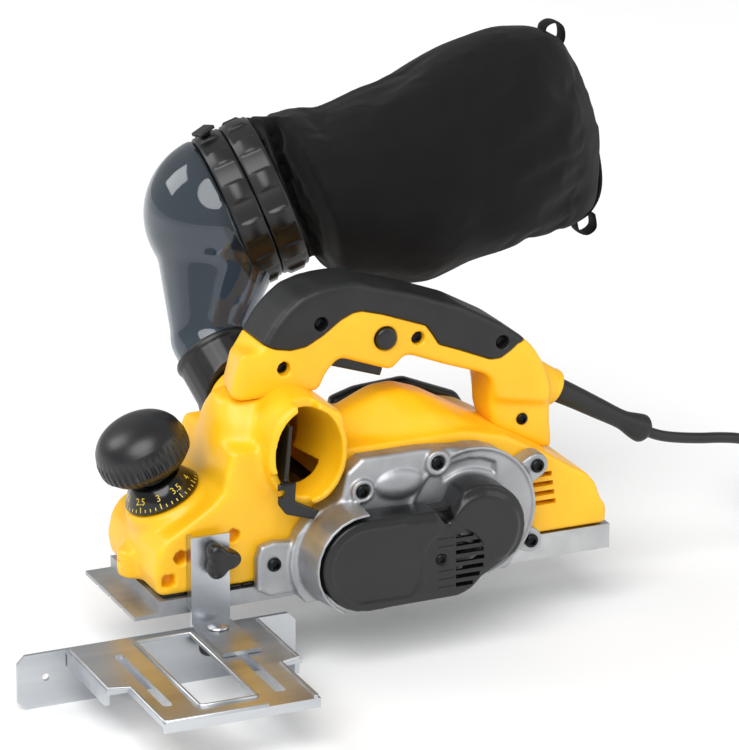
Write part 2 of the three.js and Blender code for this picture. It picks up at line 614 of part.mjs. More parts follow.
// ---- chip selector ------------------------------------------------------------------------
const flapTop = [chuteX - 11, chuteZ + 19];
const flap = across(outline([
  [selectorX - 1.2, selectorZ], [flapTop[0] - 1.5, flapTop[1]], [flapTop[0] + 1, flapTop[1]],
  [selectorX + 1.8, selectorZ],
]), chuteMouth + 2, -6);
const selectorLever = across(outline([
  [selectorX - 7, selectorZ + 3], [selectorX - 7, selectorZ - 10], [selectorX - 2, selectorZ - 17],
  [selectorX + 16, selectorZ - 23], [selectorX + 20, selectorZ - 18], [selectorX + 4, selectorZ - 9],
  [selectorX + 5, selectorZ + 3],
]), chuteMouth - 4, chuteMouth - gap, 1, 1);
const selector = join(flap, selectorLever, barY(2.8, selectorX, selectorZ, chuteMouth - 3, -4, small));
piece('chip_selector', selector, blackPlastic);

// ---- dust outlet --------------------------------------------------------------------------
// The rim that the elbow drops into.
const cupPoint = new THREE.Vector3(chuteX - 7, chutePort + 32, chuteZ + 24);
const cupAim = cupPoint.clone().sub(new THREE.Vector3(chuteX, chutePort + 4, chuteZ)).normalize();
const ringPoint = new THREE.Vector3(chuteX + 49, chutePort + 10 + bagRingRadius, chuteZ + 63 + bagRingRadius);
const ringAim = new THREE.Vector3(0.919, -0.162, 0.358).normalize();
const ringWidth = 36.9;
const domePoint = ringPoint.clone().addScaledVector(ringAim, -ringWidth);
const cupRadius = 25;
const adapterOuter = join(
  barY(portRadius + 3.5, chuteX, chuteZ, chutePort + gap, chutePort + 14),
  barY(portRadius - 0.5, chuteX, chuteZ, chutePort - 8, chutePort + 2),
  cut(
    aimed(barY(cupRadius, 0, 0, -30, 0), cupPoint, cupAim),
    block([-300, 0, 0], [300, chutePort + gap, 300]),
  ),
);
const adapter = cut(
  adapterOuter,
  barY(portRadius - 3, chuteX, chuteZ, chutePort - 10, chutePort + 10),
  aimed(barY(cupRadius - 4, 0, 0, -28, -7), cupPoint, cupAim),
  aimed(barY(cupRadius - 2, 0, 0, -8, 1), cupPoint, cupAim),
);
piece('chute_adapter', adapter, blackPlastic);

/** Cone-and-dome elbow: a taper from the cup to a dome behind the bag ring, inset by a wall. */
function elbowForm(inset, overrun) {
  const spoutRadius = cupRadius - 2.3 - inset;
  const spoutRise = 11;
  const spoutStart = cupPoint.clone().addScaledVector(cupAim, -6 - overrun);
  const knee = cupPoint.clone().addScaledVector(cupAim, spoutRise);
  const run = domePoint.clone().sub(knee);
  const cone = barY(spoutRadius, 0, 0, 0, run.length(), round, bagRingRadius - 4 - inset);
  const dome = new THREE.SphereGeometry(bagRingRadius - 1 - inset, round, small + 2);
  const kneeBall = new THREE.SphereGeometry(spoutRadius, small * 2, small);
  return join(
    aimed(cone, knee, run), solid(dome).translate(domePoint.toArray()),
    aimed(barY(spoutRadius, 0, 0, 0, 6 + overrun + spoutRise, small * 2), spoutStart, cupAim),
    solid(kneeBall).translate(knee.toArray()),
  );
}

const behindRing = aimed(block([-200, -400, -200], [200, -gap, 200]), domePoint, ringAim);
const elbow = cut(elbowForm(0, 0).intersect(behindRing), elbowForm(elbowWall, 6));
piece('dust_elbow', elbow, smokedClear);

const ringSplit = ringWidth / 2;
const collar = (start, end) => aimed(
  cut(barY(bagRingRadius, 0, 0, start, end), barY(bagRingRadius - 6, 0, 0, start - 1, end + 1)),
  domePoint, ringAim);
piece('elbow_collar', collar(0, ringSplit - gap / 2), blackPlastic);
piece('bag_collar', collar(ringSplit + gap / 2, ringWidth), blackPlastic);
const ringUp = new THREE.Vector3(-ringAim.x * ringAim.z, -ringAim.y * ringAim.z, 1 - ringAim.z ** 2);
ringUp.normalize();
const latchPoint = domePoint.clone().addScaledVector(ringAim, 8);
latchPoint.addScaledVector(ringUp, bagRingRadius + gap);
const latch = join(barY(4, 0, 0, 0, 3, small), block([-6, 2, -5], [6, 4.5, 5]));
piece('latch_button', aimed(latch, latchPoint, ringUp), blackPlastic);

// ---- dust bag -----------------------------------------------------------------------------
const bagSections = [   // along the bag: offsets from the ring's middle, half height, half width
  [1.5, 0, 0, bagRingRadius - 3, bagRingRadius - 3], [51, -2, -7, bagRingRadius + 11, bagRingRadius + 2],
  [106, -4, 4, bagRingRadius + 16, bagRingRadius - 2], [161, -7, 16, bagRingRadius + 19, bagRingRadius - 14],
  [195, -9, 23, bagRingRadius + 14, 20], [207, -10, 25, bagRingRadius + 8, 8],
];
const bagForm = new THREE.CylinderGeometry(1, 1, 1, 24, bagSections.length - 1);
const bagPlaces = bagForm.attributes.position;
for (let i = 0; i < bagPlaces.count; i++) {
  const row = Math.round((bagPlaces.getY(i) + 0.5) * (bagSections.length - 1));
  const [x, y, z, tall, wide] = bagSections[row];
  const up = bagPlaces.getX(i) * tall;
  const out = bagPlaces.getZ(i) * wide;
  const [middleX, middleY, middleZ] = [ringPoint.x + x, ringPoint.y + y, ringPoint.z + z];
  bagPlaces.setXYZ(i, middleX + up * ringUp.x, middleY + out + up * ringUp.y, middleZ + up * ringUp.z);
}
const ringClear = aimed(block([-200, -200, -200], [200, gap, 200]), ringPoint, ringAim);
piece('dust_bag', cut(solid(bagForm), ringClear), blackCloth);

// ---- fence --------------------------------------------------------------------------------
const fenceTop = -5.3;
const bracketLeft = clampX - 17;
const bracketRight = bracketLeft + bracketWidth;
const boltX = bracketLeft + bracketWidth / 2;
const guideY = -bodyHalf - 8;
const boltY = guideY - 11;
const fenceNear = guideY - fenceReach;
const fenceStep = guideY - fenceReach * 0.54;
const fenceLeft = bracketLeft - 68;
const plateOutline = outline([
  [fenceLeft, fenceNear], [bracketRight + 5, fenceNear], [bracketRight + 5, fenceStep],
  [bracketRight + 18, fenceStep], [bracketRight + 18, guideY],
  [fenceLeft - 13, guideY], [fenceLeft - 13, fenceStep], [fenceLeft, fenceStep],
]);
const slotCut = (x, yNear, yFar, width) => upright(outline([
  [x - width / 2, yNear + 1.5], [x - width / 2 + 1.5, yNear], [x + width / 2 - 1.5, yNear],
  [x + width / 2, yNear + 1.5], [x + width / 2, yFar - 1.5], [x + width / 2 - 1.5, yFar],
  [x - width / 2 + 1.5, yFar], [x - width / 2, yFar - 1.5],
]), -60, 40);
const window = block([fenceLeft + 29, fenceNear + 15, -60], [bracketLeft - 3, guideY - 4, 40]);
const guideLeft = fenceLeft - 44;
const guideRight = bracketRight + 43;
const guideOutline = outline([
  [guideLeft, -fenceDrop + 5], [guideLeft + 5, -fenceDrop],
  [guideRight - 5, -fenceDrop], [guideRight, -fenceDrop + 5],
  [guideRight, fenceTop - 5], [guideRight - 5, fenceTop],
  [guideLeft + 5, fenceTop], [guideLeft, fenceTop - 5],
]);
const guideGauge = 2.5;
const gusset = (x) => across(outline([[0, 0], [1, 0], [1, 1], [0, 1]]), 0, 1)
  .scale([fenceGauge, fenceReach * 0.5, 9]).translate([x, fenceStep + 4, fenceTop - fenceGauge - 8]);
const fence = cut(
  join(
    upright(plateOutline, fenceTop - fenceGauge, fenceTop),
    across(guideOutline, guideY, guideY + guideGauge),
    gusset(fenceLeft - 13), gusset(bracketRight + 15),
    block([fenceLeft, fenceNear, fenceTop - fenceGauge - 3], [bracketRight + 5, fenceNear + 2, fenceTop]),
  ),
  window,
  slotCut(fenceLeft + 12, fenceNear + 24, guideY - 20, 6),
  slotCut(boltX, fenceNear + 18, guideY - 7, 7),
  barY(2.4, guideLeft + 18, -fenceDrop / 2 - 1, guideY - 10, guideY + 10, small),
);
piece('fence_plate', fence, zincSteel);

const footTop = fenceTop + gap + bracketGauge;
const bracketTop = 53;
const flangeDepth = -guideY - bodyHalf - gap;
const bracketFootEnd = guideY - 50;
const legHole = block([clampX - 3.2, -100, clampZ - 10], [clampX + 3.2, 0, clampZ + 6]);
const bracket = cut(
  join(
    block([bracketLeft, guideY, footTop - bracketGauge], [bracketRight, guideY + bracketGauge, bracketTop]),
    block([bracketLeft, bracketFootEnd, footTop - bracketGauge], [bracketRight, guideY + bracketGauge, footTop]),
    block([bracketLeft, guideY, 6], [bracketLeft + bracketGauge, guideY + flangeDepth, bracketTop]),
    block([bracketRight - bracketGauge, guideY, 6], [bracketRight, guideY + flangeDepth, bracketTop - 12]),
  ),
  legHole,
  barZ(3.5, boltX, boltY, -60, 20, small),
);
piece('fence_bracket', bracket, zincSteel);

const lobes = [0, 1, 2].map((index) => {
  const angle = index * Math.PI * 2 / 3 + 0.5;
  return barY(5.5, clampX + 8 * Math.cos(angle), clampZ + 8 * Math.sin(angle), guideY - 12, guideY - gap, small);
});
const clampKnob = join(
  barY(8, clampX, clampZ, guideY - 12, guideY - gap, small * 2), ...lobes,
  barY(2.8, clampX, clampZ, guideY - 1, -bodyHalf + 12, small),
);
piece('bracket_knob', clampKnob, blackPlastic);

const boltHead = new THREE.SphereGeometry(7, small * 2, small);
boltHead.scale(1, 1, 0.42);
boltHead.translate(boltX, boltY, footTop + gap);
const bolt = join(
  solid(boltHead).intersect(block([-300, -300, footTop + gap], [300, 300, 40])),
  barZ(3, boltX, boltY, -20, footTop + gap + 0.5, small),
);
piece('fence_bolt', bolt, zincSteel);
const nutTop = fenceTop - fenceGauge - gap;
const nut = cut(
  join(
    barZ(8, boltX, boltY, nutTop - 11, nutTop, small * 2),
    ...[0, 2.1, 4.2].map((angle) => barZ(
      4, boltX + 7 * Math.cos(angle), boltY + 7 * Math.sin(angle), nutTop - 11, nutTop - 2, small)),
  ),
  barZ(3 + gap, boltX, boltY, -60, 20, small),
);
piece('fence_nut', nut, blackPlastic);

// ---- mains lead ---------------------------------------------------------------------------
const reliefProfile = [
  [0, 0], [7.8, 0], [7.8, 14], [7.3, 16], [6, 74], [9, 78], [9, 84], [6.5, 88], [0, 88],
];
piece('strain_relief', aimed(turned(reliefProfile, 0, 0, small * 2), reliefRoot, reliefAim), blackRubber, lead);

const ground = -fenceDrop;                     // the planer stands on the lower edge of its fence
const cordSection = outline(Array.from({ length: 8 }, (_, index) => [
  cordRadius * Math.cos(index * Math.PI / 4), cordRadius * Math.sin(index * Math.PI / 4)]));

/** Plain tube of the lead's diameter through a list of points. */
function cordTube(route, steps) {
  const path = new THREE.CatmullRomCurve3(route.map((place) => new THREE.Vector3(...place)));
  const body = solid(new THREE.ExtrudeGeometry(cordSection, { steps, extrudePath: path }));
  return { body, length: path.getLength() };
}

const cordRun = cordTube([                     // from the relief down to the ground and on to the coil
  [205.2, 0, 58.1], [211, 0, 54.9], [220, 0, 51.6], [232, 0, 48.9], [246, 0, 46.6], [260, 0, 44.9],
  [274, 0, 42.2], [286, 0.1, 37.3], [296, 0.4, 29.5], [303.5, 0.8, 19], [309, 1.3, 6.5], [314.5, 1.9, -6],
  [321.3, 2.9, -17.5], [330.7, 4.6, -26.8], [341.5, 7, -32.9], [352.2, 9.7, -35.9], [362, 12.2, -36.5],
  [370.5, 14.4, -36.5],
], 28);
piece('cord_run', cordRun.body, blackRubber, lead);

const coilPlace = [386, 70];                   // middle of the coil, which lies beside the planer's tail
const turns = (cordLength - cordRun.length) / (2 * Math.PI * coilRadius);
const coilHalf = Math.ceil(Math.sqrt(turns)) * cordRadius;
const coilTop = ground + 2 * coilHalf;
const coilRing = ringY(coilRadius - coilHalf, coilRadius + coilHalf, 0, 0, ground, coilTop);
const upwards = new THREE.Vector3(0, 0, 1);
const coilMiddle = new THREE.Vector3(coilPlace[0], coilPlace[1], 0);
piece('cord_coil', aimed(coilRing, coilMiddle, upwards), blackRubber, lead);

const plugHalf = [18.5, 11];                   // half width and half thickness of the plug
const plugAxis = coilTop + gap + plugHalf[1];
const plugTurn = coilRadius + cordRadius;      // the turn that the plug's end of the lead leaves
const plugX = coilPlace[0] + plugTurn;
const tailRise = [cordRadius + gap, 4.6, 6.6, 9, 10.7, plugHalf[1] + gap];
const cordTail = cordTube(tailRise.map((rise, index) => {
  const angle = (index / (tailRise.length - 1) - 1) * 1.1;
  const offset = plugTurn * Math.sin(angle);
  return [coilPlace[0] + plugTurn * Math.cos(angle), coilPlace[1] + offset, coilTop + rise];
}), 5);
piece('cord_tail', cordTail.body, blackRubber, lead);

const plugOutline = outline([
  [-6.5, 0], [-9, 5], [-plugHalf[0], 13], [-plugHalf[0], 38],
  [plugHalf[0], 38], [plugHalf[0], 13], [9, 5], [6.5, 0],
]);
const plugBody = join(
  upright(plugOutline, -plugHalf[1], plugHalf[1], 4, 2).translate([0, 12, 0]),
  barY(5.5, 0, 0, 0.9, 14, small * 2, 6.5),
  ...[-9.5, 9.5].map((x) => barY(2.4, x, 0, 49, 69, small)),
).translate([plugX, coilPlace[1], plugAxis]);
piece('plug', plugBody, blackPlastic, lead);

// ---- the origin: the middle of the machine's base -----------------------------------------
planer.updateMatrixWorld(true);
const leadPieces = ['cord_run', 'cord_coil', 'cord_tail', 'plug'];
const reach = new THREE.Box3();
planer.traverse((node) => {
  if (node.isMesh && !leadPieces.includes(node.name)) reach.expandByObject(node, true);
});
planer.position.set(-(reach.min.x + reach.max.x) / 2, -(reach.min.y + reach.max.y) / 2, -reach.min.z);

export default planer;
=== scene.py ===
import math

import bmesh
import bpy
from mathutils import Matrix, Vector, noise


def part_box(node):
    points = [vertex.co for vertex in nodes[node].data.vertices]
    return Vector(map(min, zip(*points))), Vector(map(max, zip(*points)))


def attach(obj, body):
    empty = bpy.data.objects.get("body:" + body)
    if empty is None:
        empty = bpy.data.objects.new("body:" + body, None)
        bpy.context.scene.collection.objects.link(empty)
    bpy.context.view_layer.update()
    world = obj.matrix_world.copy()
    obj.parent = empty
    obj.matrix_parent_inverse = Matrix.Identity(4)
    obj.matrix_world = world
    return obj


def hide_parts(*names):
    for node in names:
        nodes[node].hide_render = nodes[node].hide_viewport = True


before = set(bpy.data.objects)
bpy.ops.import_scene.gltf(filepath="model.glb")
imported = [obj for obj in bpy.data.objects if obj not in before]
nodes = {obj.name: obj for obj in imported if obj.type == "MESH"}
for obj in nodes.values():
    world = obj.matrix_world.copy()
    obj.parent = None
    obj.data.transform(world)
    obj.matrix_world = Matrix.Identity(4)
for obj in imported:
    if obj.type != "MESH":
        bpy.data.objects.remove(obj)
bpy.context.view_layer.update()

# ---- Camera --------------------------------------------------------------------------------
# A long lens, 2.8 m away on the belt side, ahead of the nose and above the machine.
# Places are given in the machine's own millimetres: x back from a point over the sole that is
# 160 mm ahead of its rear end, y away from the belt side, and z up from the sole.
sole_low, sole_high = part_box("rear_base")
origin = Vector((sole_high.x - 0.160, (sole_low.y + sole_high.y) / 2, sole_low.z))
to_row = Matrix.Translation(origin) @ Matrix.Scale(0.001, 4)


def at(x, y, z):
    """Row-frame point of a place in machine millimetres."""
    return to_row @ Vector((x, y, z))


turn, rise = math.radians(-23.718), math.radians(19.195)
behind = Vector((math.sin(turn) * math.cos(rise), -math.cos(turn) * math.cos(rise), math.sin(rise)))
beside = Vector((math.cos(turn), math.sin(turn), 0))
above = behind.cross(beside)
camera = bpy.data.objects.new("camera", bpy.data.cameras.new("camera"))
camera.data.sensor_width = 36
camera.data.lens = 216
camera.data.shift_x = 0.0147
camera.data.shift_y = 0.0070
camera.data.clip_end = 20
camera.matrix_world = Matrix.Translation(at(5.96, 0, 119.46) + behind * 2.7739) @ Matrix(
    (beside, above, behind)).transposed().to_4x4()
bpy.context.scene.collection.objects.link(camera)
bpy.context.scene.camera = camera


# ---- Mains lead ----------------------------------------------------------------------------
# Four metres of round rubber-sheathed flex, 7 mm thick. It sags from its relief to the ground,
# where the rest is wound into a coil of four layers with the plug on top.
def linear(code):
    """Linear colour of an sRGB hex code."""
    parts = [int(code[i:i + 2], 16) / 255 for i in (1, 3, 5)]
    return [*(v / 12.92 if v <= 0.04045 else ((v + 0.055) / 1.055) ** 2.4 for v in parts), 1.0]


def new_material(name):
    """Empty node material and its tree."""
    material = bpy.data.materials.new(name)
    material.use_nodes = True
    material.node_tree.nodes.clear()
    return material, material.node_tree


def add(tree, kind, links=None, **settings):
    """Adds a node: settings name its properties or its sockets, and links join sockets to outputs."""
    made = tree.nodes.new(kind)
    for name, value in settings.items():
        if hasattr(made, name):
            setattr(made, name, value)
        else:
            made.inputs[name.replace("_", " ")].default_value = value
    for socket, source in (links or {}).items():
        tree.links.new(source, made.inputs[socket])
    return made


def grained(name, dark, light, tone_mm, grain_mm, depth_mm, roughness, stretch=(1, 1, 1), **shader):
    """Material whose tone and gloss drift over tone_mm and whose surface has a grain of grain_mm."""
    material, tree = new_material(name)
    place = add(tree, "ShaderNodeTexCoord")
    laid = add(tree, "ShaderNodeMapping", {"Vector": place.outputs["Object"]}, Scale=stretch)
    tone = add(tree, "ShaderNodeTexNoise", {"Vector": laid.outputs["Vector"]}, Scale=1000 / tone_mm, Detail=4)
    grain = add(tree, "ShaderNodeTexNoise", {"Vector": laid.outputs["Vector"]}, Scale=1000 / grain_mm, Detail=2)
    ramp = add(tree, "ShaderNodeValToRGB", {"Fac": tone.outputs["Fac"]})
    ramp.color_ramp.elements[0].position = 0.3
    ramp.color_ramp.elements[1].position = 0.7
    ramp.color_ramp.elements[0].color = linear(dark)
    ramp.color_ramp.elements[1].color = linear(light)
    gloss = add(tree, "ShaderNodeMapRange", {"Value": tone.outputs["Fac"]}, To_Min=roughness[0], To_Max=roughness[1])
    bump = add(tree, "ShaderNodeBump", {"Height": grain.outputs["Fac"]}, Strength=1.0, Distance=depth_mm / 1000)
    surface = add(tree, "ShaderNodeBsdfPrincipled", {
        "Base Color": ramp.outputs["Color"], "Roughness": gloss.outputs["Result"], "Normal": bump.outputs["Normal"],
    }, **shader)
    add(tree, "ShaderNodeOutputMaterial", {"Surface": surface.outputs["BSDF"]})
    return material


def coat(names, material):
    """Gives carried-over CAD nodes a material."""
    for name in names:
        nodes[name].data.materials.clear()
        nodes[name].data.materials.append(material)


# Rubber flex: nearly black, with the faint bloom and soft sheen of extruded rubber.
flex_rubber = grained("flex_rubber", "#141415", "#202022", 30, 0.9, 0.02, (0.42, 0.55), IOR=1.52)
cord_radius = 3.5
cord_route = [
    (204.8, 0, 58.4), (211, 0, 54.9), (220, 0, 51.6), (232, 0, 48.9), (246, 0, 46.6), (260, 0, 44.9),
    (274, 0, 42.2), (286, 0.1, 37.3), (296, 0.4, 29.5), (303.5, 0.8, 19), (309, 1.3, 6.5), (314.5, 1.9, -6),
    (321.3, 2.9, -17.5), (330.7, 4.6, -26.8), (341.5, 7, -32.9), (352.2, 9.7, -35.9), (362, 12.2, -36.5),
    (370.5, 14.4, -36.5), (384, 17.5, -36.5),
]
coil_middle = (386, 70)
ground = -40.0
turn_radii = [50.5, 43.5, 36.5, 29.5, 29.5, 36.5, 43.5, 50.5, 50.5, 43.5, 36.5, 29.5, 29.5, 36.5, 43.5]
coil_start = math.radians(-76.7)
shift_share = 0.34
plug_axis = ground + 28 + 0.3 + 11


def coil_point(turns):
    """Middle of the lead after some turns: round at one radius, then across or up to the next turn."""
    index = min(int(turns), len(turn_radii) - 1)
    part = turns - index
    here = turn_radii[index]
    ahead = turn_radii[index + 1] if index + 1 < len(turn_radii) else here
    layer = ground + cord_radius + 7 * (index // 4)
    angle = coil_start + turns * 2 * math.pi
    radius = here
    if part > 1 - shift_share:
        step = (part - 1 + shift_share) / shift_share
        swing = math.pi / 2 * step * step * (3 - 2 * step)
        radius += (ahead - here) * (1 - math.cos(swing))
        if ahead == here:
            layer += 7 * math.sin(swing)
    return coil_middle[0] + radius * math.cos(angle), coil_middle[1] + radius * math.sin(angle), layer


def through(points, steps):
    """Points on a smooth curve through the given ones."""
    ends = [points[0], *points, points[-1]]
    path = []
    for a, b, c, d in zip(ends, ends[1:], ends[2:], ends[3:]):
        a, b, c, d = Vector(a), Vector(b), Vector(c), Vector(d)
        for step in range(steps):
            t = step / steps
            path.append(0.5 * (2 * b + (c - a) * t + (2 * a - 5 * b + 4 * c - d) * t * t
                               + (3 * b - a - 3 * c + d) * t ** 3))
    return [*path, Vector(points[-1])]


turns_wound = len(turn_radii)
coil_path = [coil_point(k / 32) for k in range(1, turns_wound * 32 + 1)]
tail_path = []
for step in range(1, 11):
    angle = coil_start * (1 - step / 10)
    lift = step / 10
    height = coil_path[-1][2] + (plug_axis - coil_path[-1][2]) * lift * lift * (3 - 2 * lift)
    tail_path.append((coil_middle[0] + turn_radii[-1] * math.cos(angle),
                      coil_middle[1] + turn_radii[-1] * math.sin(angle), height))
lead_path = [*through(cord_route, 4), *coil_path, *tail_path]
lead_curve = bpy.data.curves.new("mains_lead", "CURVE")
lead_curve.dimensions = "3D"
lead_curve.bevel_depth = cord_radius / 1000
lead_curve.bevel_resolution = 3
lead_spline = lead_curve.splines.new("POLY")
lead_spline.points.add(len(lead_path) - 1)
for point, place in zip(lead_spline.points, lead_path):
    point.co = (*at(*place), 1)
lead_spline.use_smooth = True
lead_curve.use_fill_caps = True
lead_curve.materials.append(flex_rubber)
mains_lead = bpy.data.objects.new("mains_lead", lead_curve)
bpy.context.scene.collection.objects.link(mains_lead)
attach(mains_lead, "machine")
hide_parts("cord_run", "cord_coil", "cord_tail")



# ---- Main housing --------------------------------------------------------------------------
# One glass-filled nylon moulding, 3 mm thick, with the chute's column, the hump over the motor
# and a round seat for the depth knob. Its edges are moulded to large radii.
def prism(corners, near, far):
    """Closed (x, z) outline given thickness along y."""
    form = bmesh.new()
    sides = [[form.verts.new((x, y, z)) for x, z in corners] for y in (near, far)]
    form.faces.new(sides[0])
    form.faces.new(reversed(sides[1]))
    for k in range(len(corners)):
        after = (k + 1) % len(corners)
        form.faces.new((sides[0][after], sides[0][k], sides[1][k], sides[1][after]))
    return form


def block(low, high):
    """Straight block from its lowest and highest corners."""
    return prism([(low[0], low[2]), (high[0], low[2]), (high[0], high[2]), (low[0], high[2])], low[1], high[1])


def hull(points):
    """Closed form stretched tight round points."""
    form = bmesh.new()
    for point in points:
        form.verts.new(point)
    made = bmesh.ops.convex_hull(form, input=form.verts)
    loose = {part for part in made["geom_interior"] + made["geom_unused"] if isinstance(part, bmesh.types.BMVert)}
    bmesh.ops.delete(form, geom=list(loose), context="VERTS")
    return form


def turned(profile, foot, axis, segments=72, wave=None):
    """Form turned about an axis from (radius, along) corners; wave scales a radius by row and angle."""
    form = bmesh.new()
    aim = Vector(axis).to_track_quat("Z", "Y").to_matrix()
    rows = []
    for index, (radius, along) in enumerate(profile):
        if radius == 0:
            rows.append([form.verts.new(Vector(foot) + aim @ Vector((0, 0, along)))])
            continue
        row = []
        for k in range(segments):
            angle = 2 * math.pi * k / segments
            size = radius * (wave(index, angle) if wave else 1)
            row.append(form.verts.new(Vector(foot) + aim @ Vector(
                (size * math.cos(angle), size * math.sin(angle), along))))
        rows.append(row)
    if profile[0] == profile[-1] and profile[0][0] > 0:
        for vert in rows.pop():
            form.verts.remove(vert)
        rows.append(rows[0])
    for low, high in zip(rows, rows[1:]):
        for k in range(segments):
            corners = [low[k % len(low)], low[(k + 1) % len(low)], high[(k + 1) % len(high)], high[k % len(high)]]
            corners = list(dict.fromkeys(corners))
            if len(corners) > 2:
                form.faces.new(corners)
    return form


def bar(radius, start, end, end_radius=None, segments=64):
    """Round bar or cone between two points."""
    axis = Vector(end) - Vector(start)
    last = radius if end_radius is None else end_radius
    return turned([(0, 0), (radius, 0), (last, axis.length), (0, axis.length)], start, axis, segments)


def oval(middle, halves, near, far, far_halves=None, segments=72):
    """Oval bar along y about (x, z), with its half width and half height at each end."""
    form = bmesh.new()
    rows = []
    for y, (wide, tall) in ((near, halves), (far, far_halves or halves)):
        rows.append([form.verts.new((middle[0] + wide * math.cos(a), y, middle[1] + tall * math.sin(a)))
                     for a in (2 * math.pi * k / segments for k in range(segments))])
    form.faces.new(rows[0])
    form.faces.new(reversed(rows[1]))
    for k in range(segments):
        after = (k + 1) % segments
        form.faces.new((rows[0][after], rows[0][k], rows[1][k], rows[1][after]))
    return form


def of_node(name):
    """Form of a CAD node, in machine millimetres."""
    form = bmesh.new()
    form.from_mesh(nodes[name].data)
    bmesh.ops.transform(form, matrix=to_row.inverted() @ nodes[name].matrix_world, verts=form.verts)
    return form


def made_of(name, forms):
    """Object in the row frame from closed forms in machine millimetres."""
    whole = bmesh.new()
    for form in forms:
        part = bpy.data.meshes.new("part")
        form.to_mesh(part)
        whole.from_mesh(part)
        bpy.data.meshes.remove(part)
    bmesh.ops.transform(whole, matrix=to_row, verts=whole.verts)
    bmesh.ops.recalc_face_normals(whole, faces=whole.faces)
    mesh = bpy.data.meshes.new(name)
    whole.to_mesh(mesh)
    thing = bpy.data.objects.new(name, mesh)
    bpy.context.scene.collection.objects.link(thing)
    return thing


def settle(thing):
    """Applies an object's modifiers."""
    bpy.context.view_layer.update()
    mesh = bpy.data.meshes.new_from_object(thing.evaluated_get(bpy.context.evaluated_depsgraph_get()))
    thing.modifiers.clear()
    thing.data = mesh


def rounded(thing, voxel, rounds):
    """Gives a remesh and a smoothing, which round every edge."""
    remesh = thing.modifiers.new("remesh", "REMESH")
    remesh.mode = "VOXEL"
    remesh.voxel_size = voxel / 1000
    if rounds:
        smooth = thing.modifiers.new("smooth", "SMOOTH")
        smooth.factor = 0.5
        smooth.iterations = rounds
    settle(thing)


def boolean(thing, forms, operation="DIFFERENCE"):
    """Cuts forms away from an object, or keeps what it shares with them."""
    for form in forms:
        tool = made_of("tool", [form])
        change = thing.modifiers.new("boolean", "BOOLEAN")
        change.operation = operation
        change.solver = "MANIFOLD"
        change.object = tool
        settle(thing)
        bpy.data.objects.remove(tool)


def finished(thing, material, body, replaced, sharp=None):
    """Shades a piece, gives it its material, ties it to its body and hides the CAD nodes it replaces."""
    thing.data.materials.clear()
    thing.data.materials.append(material)
    thing.data.shade_smooth()
    if sharp:
        thing.data.set_sharp_from_angle(angle=math.radians(sharp))
    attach(thing, body)
    if replaced:
        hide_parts(*replaced)
    return thing


def moulded(name, forms, material, body, replaced, voxel=1.0, rounds=6, cuts=(), fine=None, after=2):
    """Piece whose joined forms are rounded, then cut, and then lightly rounded once more."""
    thing = made_of(name, forms)
    rounded(thing, voxel, rounds)
    if cuts:
        boolean(thing, cuts)
        if fine:
            rounded(thing, fine, after)
    return finished(thing, material, body, replaced, None if fine or not cuts else 40)


# Yellow glass-filled nylon: warm and slightly glossy, with a fine spark-eroded grain.
yellow_nylon = grained("yellow_nylon", "#F5B50E", "#FDC31A", 45, 0.7, 0.012, (0.34, 0.44), IOR=1.53)
lean = math.radians(23.5)
seat = Vector((-124.5, 0, 65))
knob_up = Vector((-math.sin(lean), 0, math.cos(lean)))
chute = (-51, 98)
body_outline = [
    (-143.5, 14.4), (-44, 14.4), (-44, 16.4), (158.5, 16.4), (158.5, 28), (154, 34), (151, 44), (144, 52),
    (133, 58), (123, 65), (88, 85), (60, 92), (-10, 92), (-40, 92), (-60, 100), (-94, 100), (-98.5, 88), (-100, 76),
    (-108, 68), (-124, 58), (-138, 50), (-143.5, 42), (-146.5, 28),
]
crest = [(x, y * side, z) for side in (-1, 1) for x, y, z in (
    (-14, 6, 101), (0, 7, 106.5), (17, 9, 113), (31, 9, 113.5), (48, 9, 107.5), (68, 8, 96), (91, 8, 83),
    (2, 27, 94), (13, 28, 97), (30, 29, 101.5), (44, 29, 101.5), (61, 28, 96.5), (82, 27, 84.5),
    (-25, 40, 76), (0, 41.5, 84), (60, 41.5, 84), (92, 41, 66), (-25, 40, 50), (92, 40, 50))]
column = [(-60 + wide * math.copysign(abs(math.cos(a)) ** 0.75, math.cos(a)),
           deep * math.copysign(abs(math.sin(a)) ** 0.75, math.sin(a)), z)
          for wide, deep, z in ((39.5, 35, 62), (38, 33.5, 96), (35, 27, 112), (30, 17.5, 123.5))
          for a in (2 * math.pi * k / 32 for k in range(32))]
housing_forms = [
    prism(body_outline, -41.8, 41.8), hull(crest), hull(column),
    oval(chute, (25.6, 33.2), -50, 4), oval(chute, (26.4, 34), -57, -50.5, (25.6, 33.2)),
    prism([(-49, 118), (-46, 126), (-40, 127), (-28, 121), (-27, 112), (-40, 105)], -56.5, -12),
    bar(26, (chute[0], 0, chute[1]), (chute[0], 47, chute[1])),
    turned([(0, -34), (26.5, -34), (26.5, -2.4), (25, -0.9), (0, -0.9)], seat, knob_up),
    bar(11, (-143.5, 0, 14.6), (-143.5, 0, 33)), prism([(-100, 62), (-94, 62), (-93, 78), (-99, 77)], -3, 3),
]
